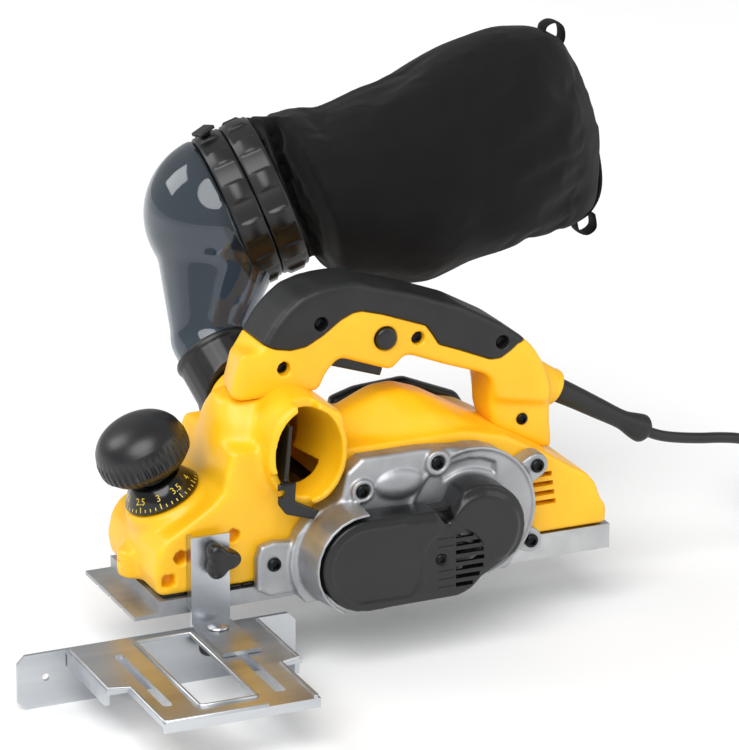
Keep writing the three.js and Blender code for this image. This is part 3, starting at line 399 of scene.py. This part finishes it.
housing_cuts = [
    oval(chute, (22.4, 29.6), -60, -3, (13.5, 19)), prism([(-58, 116), (-47, 119), (-43, 133), (-58, 133)], -60, -46),
    bar(22, (chute[0], -4, chute[1]), (chute[0], 50, chute[1])),
    bar(33, (-22, -43, 30), (-22, 43, 30)), bar(33.5, (55, -43, 42), (55, 36, 42)),
    block((-63, -34, 50), (-26, 34, 84)), bar(6.2, seat - knob_up * 60, seat + knob_up * 4),
    block((-128, -22, 0), (-86, 22, 44)),
    bar(4.6, (-129, -50, 38), (-129, -30, 38)), block((-141, -50, 20), (-133, -33, 28)),
    bar(4.4, (-95, -50, 47), (-95, -34, 47)), bar(1.6, (-160, 0, 25), (-145, 0, 25)),
    prism([(-92, 36), (-58, 36), (-47, 62), (-60, 88), (-92, 88)], -60, -52.4),
]
housing = made_of("housing", housing_forms)
rounded(housing, 1.5, 24)
boolean(housing, housing_cuts)
rounded(housing, 1.25, 2)
boolean(housing, [block((106, -50, 35.5 + 6.2 * k), (122 - k, -33, 38.7 + 6.2 * k)) for k in range(4)])
finished(housing, yellow_nylon, "machine", ["main_housing"], 50)

# Black glass-filled nylon: near black, slightly softer in gloss than the yellow.
black_nylon = grained("black_nylon", "#0B0C0D", "#141517", 40, 0.6, 0.015, (0.3, 0.42), IOR=1.53)
moulded("motor_cover", [of_node("motor_end_cover")], black_nylon, "machine", ["motor_end_cover"],
        voxel=1.4, rounds=12)


# ---- Cast base, front shoe and cutter ------------------------------------------------------
# Die-cast aluminium with milled soles: the base is screwed under the housing and the shoe rises
# on the depth screw. A thin black skirt closes the gap above the shoe.
def trimmed(name, source, material, body, width=0.5):
    """Machined or cast piece: the CAD form with its edges broken by a small bevel."""
    thing = made_of(name, [of_node(source)])
    bevel = thing.modifiers.new("bevel", "BEVEL")
    bevel.width = width / 1000
    bevel.segments = 2
    bevel.angle_limit = math.radians(35)
    settle(thing)
    return finished(thing, material, body, [source], 32)


# Die-cast aluminium: pale and matt, with a slight pebbled skin.
cast_aluminium = grained("cast_aluminium", "#A6A8AB", "#C0C2C4", 22, 1.1, 0.05, (0.46, 0.6), Metallic=1.0)
# Milled aluminium: the same metal with cutter marks across the sole.
milled_aluminium = grained("milled_aluminium", "#B4B6B8", "#C9CBCC", 16, 1.4, 0.03, (0.26, 0.36), (1, 0.06, 1),
                           Metallic=1.0)
trimmed("base_casting", "rear_base", milled_aluminium, "machine", 0.8)
trimmed("shoe_casting", "front_shoe", cast_aluminium, "shoe", 0.6)
trimmed("far_cheek", "drum_flank", cast_aluminium, "machine", 1.2)
# Soft black skirt: dull moulded rubber.
soft_rubber = grained("soft_rubber", "#0F1011", "#191A1B", 18, 0.5, 0.03, (0.42, 0.56), IOR=1.52)
coat(["shoe_skirt"], soft_rubber)
# Painted shade: five short black rubber strips of differing length along the housing's lower edge on the belt side,
# darkening the gap over the shoe where shade falls.
gap_shade_strips = [block((x, -41.9, 14.1), (x + w, -38.5, 15)) for x, w in ((-100, 9), (-89, 6), (-81, 12), (-67, 7), (-58, 12))]
finished(made_of("painted_gap_shade", gap_shade_strips), soft_rubber, "machine", [], 30)

# Turned and ground steel: grey, with fine lathe marks.
ground_steel = grained("ground_steel", "#7E8185", "#A0A3A7", 12, 0.5, 0.02, (0.22, 0.36), Metallic=1.0)
# Carbide blade: darker, with a polished edge.
blade_steel = grained("blade_steel", "#90949A", "#B6BABF", 8, 0.4, 0.01, (0.14, 0.24), Metallic=1.0)
# Enamelled copper: reddish, glossy windings.
enamelled_copper = grained("enamelled_copper", "#8C4B24", "#B4683A", 3, 0.8, 0.1, (0.25, 0.4), Metallic=0.9)
# Belt rubber: dull black with dust on it.
belt_rubber = grained("belt_rubber", "#1A1A1B", "#29292A", 6, 0.7, 0.05, (0.7, 0.85), IOR=1.52)
coat(["cutter_drum", "drum_bearing_far", "drum_bearing_near", "drum_pulley", "motor_pulley", "stator",
      "motor_bearing_near", "motor_bearing_far", "depth_screw"], ground_steel)
coat(["blade_1", "blade_2"], blade_steel)
coat(["armature"], enamelled_copper)
coat(["drive_belt"], belt_rubber)
coat(["cooling_fan", "brush_ring", "switch_body"], black_nylon)


# ---- Depth knob and scale ------------------------------------------------------------------
# Two moulded pieces on the depth screw: a glossy scale cone, and the knob whose skirt has flutes
# for the fingers. The scale's marks are printed and count half millimetres.
def smooth_profile(corners, steps=4):
    """(radius, along) corners joined by a smooth curve."""
    return [(max(p.x, 0), p.y) for p in through([(r, h, 0) for r, h in corners], steps)]


# Glossy black plastic of the scale.
gloss_black = grained("gloss_black", "#060607", "#0C0C0E", 25, 1.5, 0.004, (0.12, 0.2), IOR=1.53)
# Satin black plastic of the knob, worn a little brighter in places.
satin_black = grained("satin_black", "#0C0D0E", "#16171A", 18, 0.5, 0.01, (0.28, 0.4), IOR=1.53)
# Printed marks: opaque yellow ink.
yellow_ink = grained("yellow_ink", "#E0C33A", "#EBD050", 5, 0.4, 0.005, (0.45, 0.55), IOR=1.5)
cone = [(0, 0.2), (23, 0.2), (23.8, 0.7), (24, 1.6), (16.4, 12.2), (15.6, 12.9), (0, 12.9)]
finished(made_of("scale_cone", [turned(cone, seat, knob_up, 128)]), gloss_black, "depth_dial",
         ["depth_scale"], 50)
skirt_rows = [(0, 13.4), (12.2, 13.4), (12.2, 16.8), (13.5, 17.6), (19, 18.4), (24.2, 20.6), (26, 22.6),
              (28.6, 25.4), (29.2, 28), (29.3, 31), (29.2, 34), (28.4, 37)]
dome_rows = smooth_profile([(27.2, 41), (24.6, 45), (20.4, 48.8), (14.6, 51.7), (7.6, 53.4), (0, 53.9)], 4)
finished(made_of("knob_cap", [turned(
    skirt_rows + dome_rows, seat, knob_up, 400,
    lambda row, angle: 1 - 0.04 * min(1, 1.6 * max(0, math.cos(40 * angle))) if 6 <= row <= 10 else 1)]),
    satin_black, "depth_dial", ["depth_knob"], 50)
slope = math.atan2(24 - 16.4, 12.2 - 1.6)
aim = knob_up.to_track_quat("Z", "Y").to_matrix().to_4x4()
front_angle = math.radians(-58)
marks = []
for index in range(40):
    angle = front_angle + math.radians(9) * (index - 20)
    tall = 3.4 if index % 4 == 0 else 1.9
    mark = block((-0.28, -0.1, 0), (0.28, 0.12, tall))
    place = (Matrix.Translation(seat) @ aim @ Matrix.Rotation(angle + math.pi / 2, 4, "Z")
             @ Matrix.Translation((0, -23.55, 2.2)) @ Matrix.Rotation(-slope, 4, "X"))
    bmesh.ops.transform(mark, matrix=place, verts=mark.verts)
    marks.append(mark)
for index in range(9):
    angle = front_angle + math.radians(36) * (index - 5)
    letters = bpy.data.curves.new("figure", "FONT")
    letters.body = f"{0.5 * index:g}"
    letters.size = 6
    letters.align_x = "CENTER"
    letters.extrude = 0.12
    text = bpy.data.objects.new("figure", letters)
    bpy.context.scene.collection.objects.link(text)
    bpy.context.view_layer.update()
    figure = bmesh.new()
    figure.from_mesh(bpy.data.meshes.new_from_object(text))
    bpy.data.objects.remove(text)
    place = (Matrix.Translation(seat) @ aim @ Matrix.Rotation(angle + math.pi / 2, 4, "Z")
             @ Matrix.Translation((0, -20.75, 6.15)) @ Matrix.Rotation(math.pi / 2 - slope, 4, "X"))
    bmesh.ops.transform(figure, matrix=place, verts=figure.verts)
    marks.append(figure)
finished(made_of("scale_marks", marks), yellow_ink, "depth_dial", [], 30)


# ---- Belt-side plate, belt cover and their screws ------------------------------------------
# The plate is die-cast and carries the drive; its front sweeps out into a guard. The belt cover
# is a black moulding with a sunk blank panel, a vented round recess and a raised lobe.
moulded("drive_plate", [
    of_node("side_plate"), bar(7.6, (-17, -50, 70), (-17, -60.5, 70)), bar(8.2, (33, -50, 81), (33, -60.5, 81)),
    hull([(8 + 17 * math.cos(a) * math.cos(b), -56 - 6 * math.sin(b), 71 + 10 * math.sin(a) * math.cos(b))
          for a in (math.pi * k / 10 for k in range(20)) for b in (math.pi * m / 12 for m in range(7))]),
    turned([(41.5, 0), (43.5, 0), (43.5, 1.6), (41.5, 1.6), (41.5, 0)], (57, -57, 44), (0, -1, 0)),
], cast_aluminium, "machine", ["side_plate"], voxel=0.85, rounds=4, cuts=[
        bar(5, (x, -70, z), (x, -58.6, z)) for x, z in ((-17, 70), (33, 81))], fine=0.8, after=1)


def arc(middle, radius, start, end, count=14):
    """Points of an arc in the (x, z) plane, with angles in degrees."""
    return [(middle[0] + radius * math.cos(math.radians(start + (end - start) * k / (count - 1))),
             middle[1] + radius * math.sin(math.radians(start + (end - start) * k / (count - 1)))) for k in range(count)]


def cover_outline(grow):
    """Outline round the drum pulley, the vented corner and the motor pulley."""
    return [*arc((-22.4, 29), 29.5 + grow, 90, 270), *arc((34, 24), 24 + grow, -90, -35, 6),
            *arc((54, 41), 29.3 + grow, -38, 115 + 8 * grow), (31, 47 + 2.8 * grow), (24, 57.5 + grow)]


panel = [*arc((-22.4, 29), 24, 100, 260), (6, 5), (12, 14), (14, 28), (12, 44), (2, 53)]
cover_forms = [
    prism(cover_outline(0), -79.5, -57.6), prism(cover_outline(-5), -80.4, -75),
    prism([*arc((54, 41), 24, -60, 150)], -82, -75), bar(6.4, (26.5, -81, 26), (26.5, -60, 26)),
]
cover = made_of("belt_guard", cover_forms)
rounded(cover, 1.1, 12)
boolean(cover, [
    bar(21.4, (34, -90, 24), (34, -79.7, 24)), prism(panel, -90, -79.3),
    prism(cover_outline(-2.8), -77, -50), bar(4.2, (26.5, -90, 26), (26.5, -78.8, 26)),
])
rounded(cover, 0.8, 2)
boolean(cover, [
    block((36, -90, z - 1.35), (34 + math.sqrt(21 ** 2 - (z - 24) ** 2), -76, z + 1.35))
    for z in (8.1 + 5.3 * k for k in range(7))])
boolean(cover, [block((24, -90, z - 0.35), (34.5, -79.3, z + 0.35)) for z in (8.1 + 5.3 * k for k in range(7))
                if abs(z - 26) > 5])
finished(cover, black_nylon, "machine", ["belt_cover"], 50)

# Blackened steel of the screws.
black_oxide = grained("black_oxide", "#0E0F10", "#1D1E20", 4, 0.4, 0.01, (0.3, 0.42), Metallic=0.7)


def screw(name, place, radius, tall, replaced):
    """Pan-head screw with a six-lobed recess, its head facing the belt side."""
    head = smooth_profile([(0, tall), (radius * 0.6, tall * 0.92), (radius * 0.94, tall * 0.5), (radius, 0.4)], 4)
    thing = made_of(name, [turned([*head, (radius, 0), (2.3, 0), (2.3, -8), (0, -8)], place, (0, -1, 0), 48)])
    recess = turned([(0, tall * 0.25), (radius * 0.5, tall * 0.25), (radius * 0.5, tall + 1), (0, tall + 1)], place,
                    (0, -1, 0), 60, lambda row, angle: 1 + 0.13 * math.cos(6 * angle))
    boolean(thing, [recess])
    finished(thing, black_oxide, "machine", replaced, 35)


for index, (x, z) in enumerate([(-17, 70), (33, 93 - 12), (102, 68), (98.5, 19), (-72, 28)]):
    y = (-58.4, -58.4, -56.2, -56.2, -50.6)[index]
    screw(f"plate_fixing_{index + 1}", (x, y, z), 4.4, 2.6, [f"plate_screw_{index + 1}"])
screw("cover_fixing", (26.5, -78.6, 26), 3.6, 2.0, ["cover_screw"])


# ---- Handle --------------------------------------------------------------------------------
# A D handle moulded in two halves and screwed together, yellow nylon with a soft black grip over
# its front and top. The seam between the halves runs down its middle.
handle_outline = [
    (-79, 124.2), (-75, 136), (-70, 149), (-65, 157), (-58, 168), (-50, 177), (-40, 184.5), (-26, 188.6), (-10, 189.3),
    (0, 188.8), (10, 185), (34, 178), (68, 165), (95, 150), (110, 139), (118, 131), (124, 121), (128, 110),
    (130, 100), (128, 93), (92, 100), (88, 114), (84, 118), (56, 128),
    (34, 137), (29, 137.5), (22, 130), (18, 130), (-14, 142), (-20, 137), (-25, 130), (-27, 124.2),
]
grip_outline = [
    (-82, 160.5), (-68, 159), (-57, 154), (-47, 152), (-37, 153), (-26, 158.5), (-14, 167), (-6, 170.5), (0, 171),
    (14, 167), (43, 156), (48, 149), (52, 142.5), (66, 137), (87, 128), (94, 128), (101, 132), (106, 136), (124, 139),
    (124, 205), (-90, 205),
]


leg_outline = [(130, 106), (131, 92), (131.5, 80), (133, 61), (126, 62), (92, 81), (89, 90), (88, 112), (100, 122)]
leaf = [(-88, -20, 127), (-82, -21, 123.5), (-79, -20, 154), (-58, -20, 151), (-34, -21, 131), (-29, -20, 123.5),
        (-79, 14, 124), (-74, 14, 148), (-58, 20, 151), (-34, 20, 131), (-29, 20, 123.5)]


def widened(corners, grow):
    """Outline moved down by a small gap."""
    return [(x, z - grow) for x, z in corners]


screw_places = [(-27, 166), (-52, 141), (38, 148), (95, 138), (111, 84)]
handle_cuts = [
    *(bar(4.6, (x, -40, z), (x, -14.4, z), 4.4) for x, z in screw_places),
    bar(7.5, (16, -40, 151), (16, 40, 151)), block((-17, -7, 120), (22.4, 7, 150)),
    block((-90, -0.16, 100), (150, 0.16, 200)),
]
for name, side, material, slot_name, replaced in (
        ("handle_frame", "DIFFERENCE", yellow_nylon, "yellow_plastic", ["handle_shell_near", "handle_shell_far"]),
        ("handle_grip", "INTERSECT", soft_rubber, "black_rubber", ["grip_near", "grip_far"])):
    half = 18.7 if side == "DIFFERENCE" else 19.6
    forms = [prism(handle_outline, -half, half)]
    if side == "DIFFERENCE":
        forms += [prism(leg_outline, -15, 15), hull(leaf), bar(14.5, (112, 0, 111), (139, 0, 95.8), 12)]
    thing = made_of(name, forms)
    rounded(thing, 1.3, 44)
    boolean(thing, [prism(widened(grip_outline, 0 if side == "INTERSECT" else 0.35), -60, 60)], side)
    boolean(thing, handle_cuts)
    rounded(thing, 0.9, 1)
    finished(thing, material, "machine", replaced)
for index, (x, z) in enumerate(screw_places):
    screw(f"handle_fixing_{index + 1}", (x, -14.6, z), 3.8, 2.2, [f"handle_screw_{index + 1}"])
moulded("trigger_lever", [of_node("trigger")], satin_black, "trigger", ["trigger"], 0.6, 6)
button = smooth_profile([(0, 21.4), (5, 21.1), (6.6, 20.4), (7, 19.4)], 4) + [(7, 0), (0, 0)]
finished(made_of("lock_button", [turned(button, (16, 0, 151), (0, side, 0), 64) for side in (-1, 1)]), satin_black,
         "lock_off", ["lock_off_button"], 50)
moulded("selector_lever", [of_node("chip_selector")], black_nylon, "selector", ["chip_selector"],
        0.7, 5, [bar(2.6, (-71, -70, 77), (-71, -56, 77))])


# ---- Dust outlet ---------------------------------------------------------------------------
# A cup on the far port holds the smoked polycarbonate elbow, which swivels in it. The elbow and
# the bag meet in two black collars with finger bumps, and a latch locks them.
ring_axis = Vector((0.919, -0.162, 0.358)).normalized()
ring_face = Vector((-2, 110, 213))
dome_middle = ring_face - ring_axis * 36.9
cup_rim = Vector((-58, 80, 122))
cup_axis = Vector((-0.186, 0.745, 0.639)).normalized()
moulded("outlet_cup", [of_node("chute_adapter"), turned(
    [(22.6, -3.4), (25.6, -3.4), (26, -2.4), (26, 0.2), (25, 1), (22.6, 1), (22.6, -3.4)], cup_rim, cup_axis)],
    black_nylon, "elbow", ["chute_adapter"], 0.9, 4)
# Smoked polycarbonate: clear, blue-grey and glossy.
smoked_clear = grained("smoked_clear", "#66727D", "#76828D", 60, 6, 0.02, (0.03, 0.07), IOR=1.58,
                       Transmission_Weight=0.92)
knee = cup_rim + cup_axis * 11
elbow = made_of("outlet_elbow", [
    bar(22.4, cup_rim - cup_axis * 5, knee), bar(22.4, knee, dome_middle, 48),
    turned([(22.4 * math.sin(a), -22.4 * math.cos(a)) if 0 < k < 16 else (0, -22.4 * math.cos(a))
            for k, a in enumerate(math.pi * k / 16 for k in range(17))], knee, cup_axis),
    turned([(50.6 * math.sin(a), -50.6 * math.cos(a)) if k else (0, -50.6)
            for k, a in enumerate(math.pi / 2 * k / 16 for k in range(17))] + [(0, 0)], dome_middle, ring_axis),
])
rounded(elbow, 1.4, 24)
shell = elbow.modifiers.new("shell", "SOLIDIFY")
shell.thickness = 0.0022
shell.offset = -1
settle(elbow)
finished(elbow, smoked_clear, "elbow", ["dust_elbow"])


def bumps(row, angle):
    """Rounded finger bumps round a collar, 30 degrees apart."""
    return 1 + 0.036 * min(1, 2.4 * max(0, math.cos(12 * angle) + 0.1))


for name, low, high, body, replaced in (("inner_collar", 0.2, 18.2, "elbow", "elbow_collar"),
                                        ("outer_collar", 18.7, 36.8, "bag", "bag_collar")):
    rows = [(46.2, low), (49.4, low), (50.3, low + 0.9), (50.3, low + 2.6), (50.4, low + 4.6), (50.4, high - 4.6),
            (50.3, high - 2.6), (50.3, high - 0.9), (49.4, high), (46.2, high), (46.2, low)]
    finished(made_of(name, [turned(rows, dome_middle, ring_axis, 360,
                                   lambda row, angle: bumps(row, angle) if row in (4, 5) else 1)]),
             black_nylon, body, [replaced], 50)
moulded("collar_latch", [of_node("latch_button")], black_nylon, "latch", ["latch_button"], 0.5, 4)


# ---- Dust bag ------------------------------------------------------------------------------
# Two panels of black polyester cloth sewn together with a piped seam round the rear, gathered on
# the outer collar. It is slack and part filled, with a webbing loop at each end of the seam.
def weave(name, dark, light, pitch_mm):
    """Cloth with a plain weave, a drifting tone and a soft sheen."""
    material, tree = new_material(name)
    place = add(tree, "ShaderNodeTexCoord")
    warp = add(tree, "ShaderNodeTexWave", {"Vector": place.outputs["Object"]}, Scale=314 / pitch_mm / 2,
               bands_direction="DIAGONAL")
    weft = add(tree, "ShaderNodeTexWave", {"Vector": place.outputs["Object"]}, Scale=314 / pitch_mm / 2,
               bands_direction="Z")
    threads = add(tree, "ShaderNodeMath", operation="MULTIPLY")
    tree.links.new(warp.outputs["Fac"], threads.inputs[0])
    tree.links.new(weft.outputs["Fac"], threads.inputs[1])
    tone = add(tree, "ShaderNodeTexNoise", {"Vector": place.outputs["Object"]}, Scale=35, Detail=5)
    ramp = add(tree, "ShaderNodeValToRGB", {"Fac": tone.outputs["Fac"]})
    ramp.color_ramp.elements[0].color = linear(dark)
    ramp.color_ramp.elements[1].color = linear(light)
    bump = add(tree, "ShaderNodeBump", {"Height": threads.outputs["Value"]}, Strength=0.6, Distance=0.0001)
    surface = add(tree, "ShaderNodeBsdfPrincipled", {"Base Color": ramp.outputs["Color"], "Normal": bump.outputs["Normal"]},
                  Roughness=0.8, Sheen_Weight=0.06, Sheen_Roughness=0.5, IOR=1.3)
    add(tree, "ShaderNodeOutputMaterial", {"Surface": surface.outputs["BSDF"]})
    return material


# Black polyester cloth: a real pitch of 0.4 mm is too fine to show, so the weave is 0.9 mm.
black_cloth = weave("black_cloth", "#040405", "#0A0A0C", 0.9)
ring_up = Vector((-ring_axis.x * ring_axis.z, -ring_axis.y * ring_axis.z, 1 - ring_axis.z ** 2)).normalized()
ring_out = ring_axis.cross(ring_up)
seam_top, seam_low = Vector((186, 106, 293)), Vector((221, 108, 178))
top_line = [(-20, 113, 261.5), (2, 112, 259.5), (32, 110, 264.5), (65, 109, 274.5), (100, 108, 285.5), (134, 107, 296),
            (156, 106, 300.5), (176, 106, 299), (190, 106, 293)]
low_line = [(16, 107, 164), (34, 108, 158), (60, 109, 151), (92, 108, 145), (120, 108, 151), (150, 108, 160),
            (180, 108, 164), (204, 108, 166), (220, 108, 172)]
widths = [50, 52, 55, 56, 54, 49, 40, 25, 6]
rows = []
for row, (top, low, wide) in enumerate(zip(through(top_line, 3), through(low_line, 3),
                                           [p.x for p in through([(w, 0, 0) for w in widths], 3)])):
    middle, reach = (top + low) / 2, (top - low) / 2
    ring_share = max(0, 1 - row / 3)
    line = []
    for k in range(64):
        angle = 2 * math.pi * k / 64
        power = 1 - 0.25 * min(1, row / 18)
        swell = abs(math.sin(angle)) ** power * (1 if math.sin(angle) > 0 else -1)
        point = middle + reach * math.cos(angle) + Vector((0, 1, 0)) * wide * swell
        point += ring_axis * 15 * math.sin(angle) ** 2 * (row / 24) ** 3
        round_point = ring_face + ring_axis * (row * 7 + 0.5) + (ring_up * math.cos(angle) + ring_out * math.sin(angle)) * 50.4
        crease = noise.noise(point / 34) * 3.4 + noise.noise(point / 14) * 1.3
        crease += noise.noise(Vector((row / 9, 2.2 * math.cos(3 * angle), 2.2 * math.sin(3 * angle)))) * 2.2
        point = point + (point - middle).normalized() * crease * min(1, row / 5)
        line.append(point.lerp(round_point, ring_share))
    rows.append(line)
cloth_form = bmesh.new()
verts = [[cloth_form.verts.new(point) for point in line] for line in rows]
for low_row, high_row in zip(verts, verts[1:]):
    for k in range(64):
        cloth_form.faces.new((low_row[k], low_row[(k + 1) % 64], high_row[(k + 1) % 64], high_row[k]))
cloth_form.faces.new(reversed(verts[0]))
cloth_form.faces.new(verts[-1])
bag = made_of("bag_cloth", [cloth_form])
rounded(bag, 4, 1)
furthest = 0.0045
starts = [vert.co.copy() for vert in bag.data.vertices]
held = bag.vertex_groups.new(name="held")
ring_place = to_row @ ring_face
held.add([vert.index for vert in bag.data.vertices
          if (vert.co - ring_place).dot(ring_axis) < 0.009 or vert.co.x > at(196, 0, 0).x], 1.0, "REPLACE")
cloth = bag.modifiers.new("cloth", "CLOTH")
cloth.settings.vertex_group_mass = "held"
cloth.settings.use_pressure = True
cloth.settings.uniform_pressure_force = 1.2
cloth.settings.effector_weights.gravity = 0
cloth.settings.shrink_min = -0.035
cloth.point_cache.frame_end = 20
for step in range(1, 21):
    bpy.context.scene.frame_set(step)
settle(bag)
bpy.context.scene.frame_set(1)
for vert, start in zip(bag.data.vertices, starts):
    move = vert.co - start
    if move.length > furthest:
        vert.co = start + move.normalized() * furthest
subdivision = bag.modifiers.new("subdivision", "SUBSURF")
subdivision.levels = 1
subdivision.render_levels = 1
settle(bag)
finished(bag, black_cloth, "bag", ["dust_bag"])


def swept(name, path, radii, material, body, replaced=(), across=None):
    """Round or flat strip along a path, with a radius for each of its points."""
    form = bmesh.new()
    rings = []
    for index, point in enumerate(path):
        before, ahead = Vector(path[max(index - 1, 0)]), Vector(path[min(index + 1, len(path) - 1)])
        along = (ahead - before).normalized()
        side = Vector(across or (0, 1, 0))
        side = (side - along * side.dot(along)).normalized()
        out = along.cross(side)
        wide, thick = radii[index] if isinstance(radii[index], tuple) else (radii[index],) * 2
        rings.append([form.verts.new(Vector(point) + side * wide * math.cos(2 * math.pi * k / 24)
                                     + out * thick * math.sin(2 * math.pi * k / 24)) for k in range(24)])
    for low_ring, high_ring in zip(rings, rings[1:]):
        for k in range(24):
            form.faces.new((low_ring[k], low_ring[(k + 1) % 24], high_ring[(k + 1) % 24], high_ring[k]))
    form.faces.new(rings[0])
    form.faces.new(reversed(rings[-1]))
    return finished(made_of(name, [form]), material, body, replaced, 50)


piping = through([(172, 106, 298.5), (183, 106, 294), (193, 106, 285), (206, 107, 262), (217, 108, 232), (224, 108, 202),
                  (224, 108, 184), (217, 108, 172), (206, 108, 166)], 6)
swept("bag_piping", piping, [1.7] * len(piping), black_cloth, "bag")
for name, path in (
        ("loop_top", [(180, 106, 294), (181, 106, 301), (187, 106, 303.5), (193, 106, 300), (194, 106, 292), (190, 106, 285)]),
        ("loop_low", [(206, 108, 168), (208, 108, 161), (214, 108, 158), (220, 108, 162), (219, 108, 171)])):
    strip = through(path, 5)
    swept(name, strip, [(6, 0.9)] * len(strip), black_cloth, "bag")


# ---- Edge fence ----------------------------------------------------------------------------
# Pressed and zinc-plated steel: a slotted plate with a hanging guide, slid along an angle bracket
# that a three-lobed knob clamps to the housing.
# Bright zinc plate: silvery, slightly blue, with rolling marks along it.
bright_zinc = grained("bright_zinc", "#B9BDC2", "#D3D6D9", 20, 0.9, 0.015, (0.28, 0.4), (0.1, 1, 1), Metallic=1.0)
trimmed("fence_pressing", "fence_plate", bright_zinc, "fence", 0.9)
trimmed("bracket_pressing", "fence_bracket", bright_zinc, "bracket", 0.8)
bead_z = -4.9
beads = [
    [(-164, -57), (-130.6, -57), (-129.6, -58), (-129.6, -161), (-130.6, -162.4), (-164, -162.4), (-165.6, -161),
     (-165.6, -58), (-164, -57)],
    [(-205.4, -54), (-205.4, -118), (-192.8, -121.5), (-192.8, -175), (-191, -176.4), (-128.5, -176.4)],
    [(-98.6, -176.4), (-97.4, -175), (-97.4, -121.5), (-84.8, -118), (-84.8, -54)],
]
for index, corners in enumerate(beads):
    path = [(x, y, bead_z) for x, y in corners]
    swept(f"fence_rim_{index + 1}", path, [1.25] * len(path), bright_zinc, "fence", across=(0, 0, 1))
moulded("clamp_bolt", [of_node("fence_bolt")], bright_zinc, "bracket", ["fence_bolt"], 0.45, 5)


def lobed(name, foot, axis, body, source, tall, shank):
    """Three-lobed clamp knob with its screw's shank."""
    rows = smooth_profile([(0, tall), (5.5, tall), (8.6, tall - 1.2), (9.8, tall - 4), (9.6, 3), (8.2, 0.6), (0, 0.4)])
    form = turned(rows, foot, axis, 96, lambda row, angle: 1 + 0.24 * math.cos(3 * angle))
    pin = bar(2.4, foot, Vector(foot) - Vector(axis) * shank)
    finished(made_of(name, [form, pin]), satin_black, body, [source], 60)


lobed("clamp_knob", (-109, -50.1, 39), (0, -1, 0), "bracket_clamp", "bracket_knob", 12, 15)
lobed("clamp_nut", (-113.5, -61, -8.7), (0, 0, -1), "fence_clamp", "fence_nut", 10.5, 0.2)


# ---- Strain relief and plug ----------------------------------------------------------------
# The relief is a soft sleeve that droops a little and ends in a bulb. The plug is moulded onto
# the lead; its two brass pins in half-insulated sleeves get no material of their own.
relief_path = through([(128, 0, 102), (141, 0, 95), (156, 0, 86.6), (172, 0, 77.2), (188, 0, 67.8), (197, 0, 62.6),
                       (203, 0, 59.4), (206.5, 0, 57.6)], 4)
relief_sizes = [7.9, 7.9, 7.3, 6.7, 6.2, 8.2, 9.1, 6.2]
relief_radii = [p.x for p in through([(r, 0, 0) for r in relief_sizes], 4)]
swept("relief_sleeve", relief_path, relief_radii, soft_rubber, "machine", ["strain_relief"])
finished(made_of("relief_collar", [turned(
    [(8.2, 0), (11.6, 0), (12.2, 1), (12, 3.4), (10.6, 4.6), (8.2, 4.6), (8.2, 0)], (136, 0, 97.6), (0.869, 0, -0.494))]),
    yellow_nylon, "machine", [], 50)
plug_body = moulded("plug_body", [of_node("plug")], black_nylon, "machine", ["plug"], 0.8, 6)


# ---- Floor and light -----------------------------------------------------------------------
# A pale floor under a soft distant key light, two large area lights and an even surround.
# Matt white floor with a very faint tone.
floor_white = grained("floor_white", "#F4F4F4", "#F8F8F8", 400, 3, 0.0, (0.7, 0.8), IOR=1.4)
floor_form = bmesh.new()
bmesh.ops.create_grid(floor_form, x_segments=8, y_segments=8, size=6000)
bmesh.ops.transform(floor_form, matrix=Matrix.Translation((0, 0, -40)), verts=floor_form.verts)
floor = made_of("floor", [floor_form])
floor.data.materials.append(floor_white)
world = bpy.data.worlds.new("surround")
world.use_nodes = True
world.node_tree.nodes["Background"].inputs["Color"].default_value = (1, 1, 1, 1)
world.node_tree.nodes["Background"].inputs["Strength"].default_value = 0.45
bpy.context.scene.world = world
for name, kind, place, power, size in (("key", "SUN", (-1.0, -1.3, 1.9), 2.5, math.radians(50)),
                                       ("fill", "AREA", (1.5, -1.2, 0.9), 7, 1.2),
                                       ("edge", "AREA", (-1.2, 0.9, 1.2), 9, 0.8)):
    lamp = bpy.data.lights.new(name, kind)
    lamp.energy = power
    if kind == "SUN":
        lamp.angle = size
    else:
        lamp.size = size
    light = bpy.data.objects.new(name, lamp)
    light.matrix_world = Matrix.Translation(place) @ (Vector((0, 0, 0.12)) - Vector(place)).to_track_quat(
        "-Z", "Y").to_matrix().to_4x4()
    bpy.context.scene.collection.objects.link(light)
bpy.context.scene.view_settings.view_transform = "Standard"
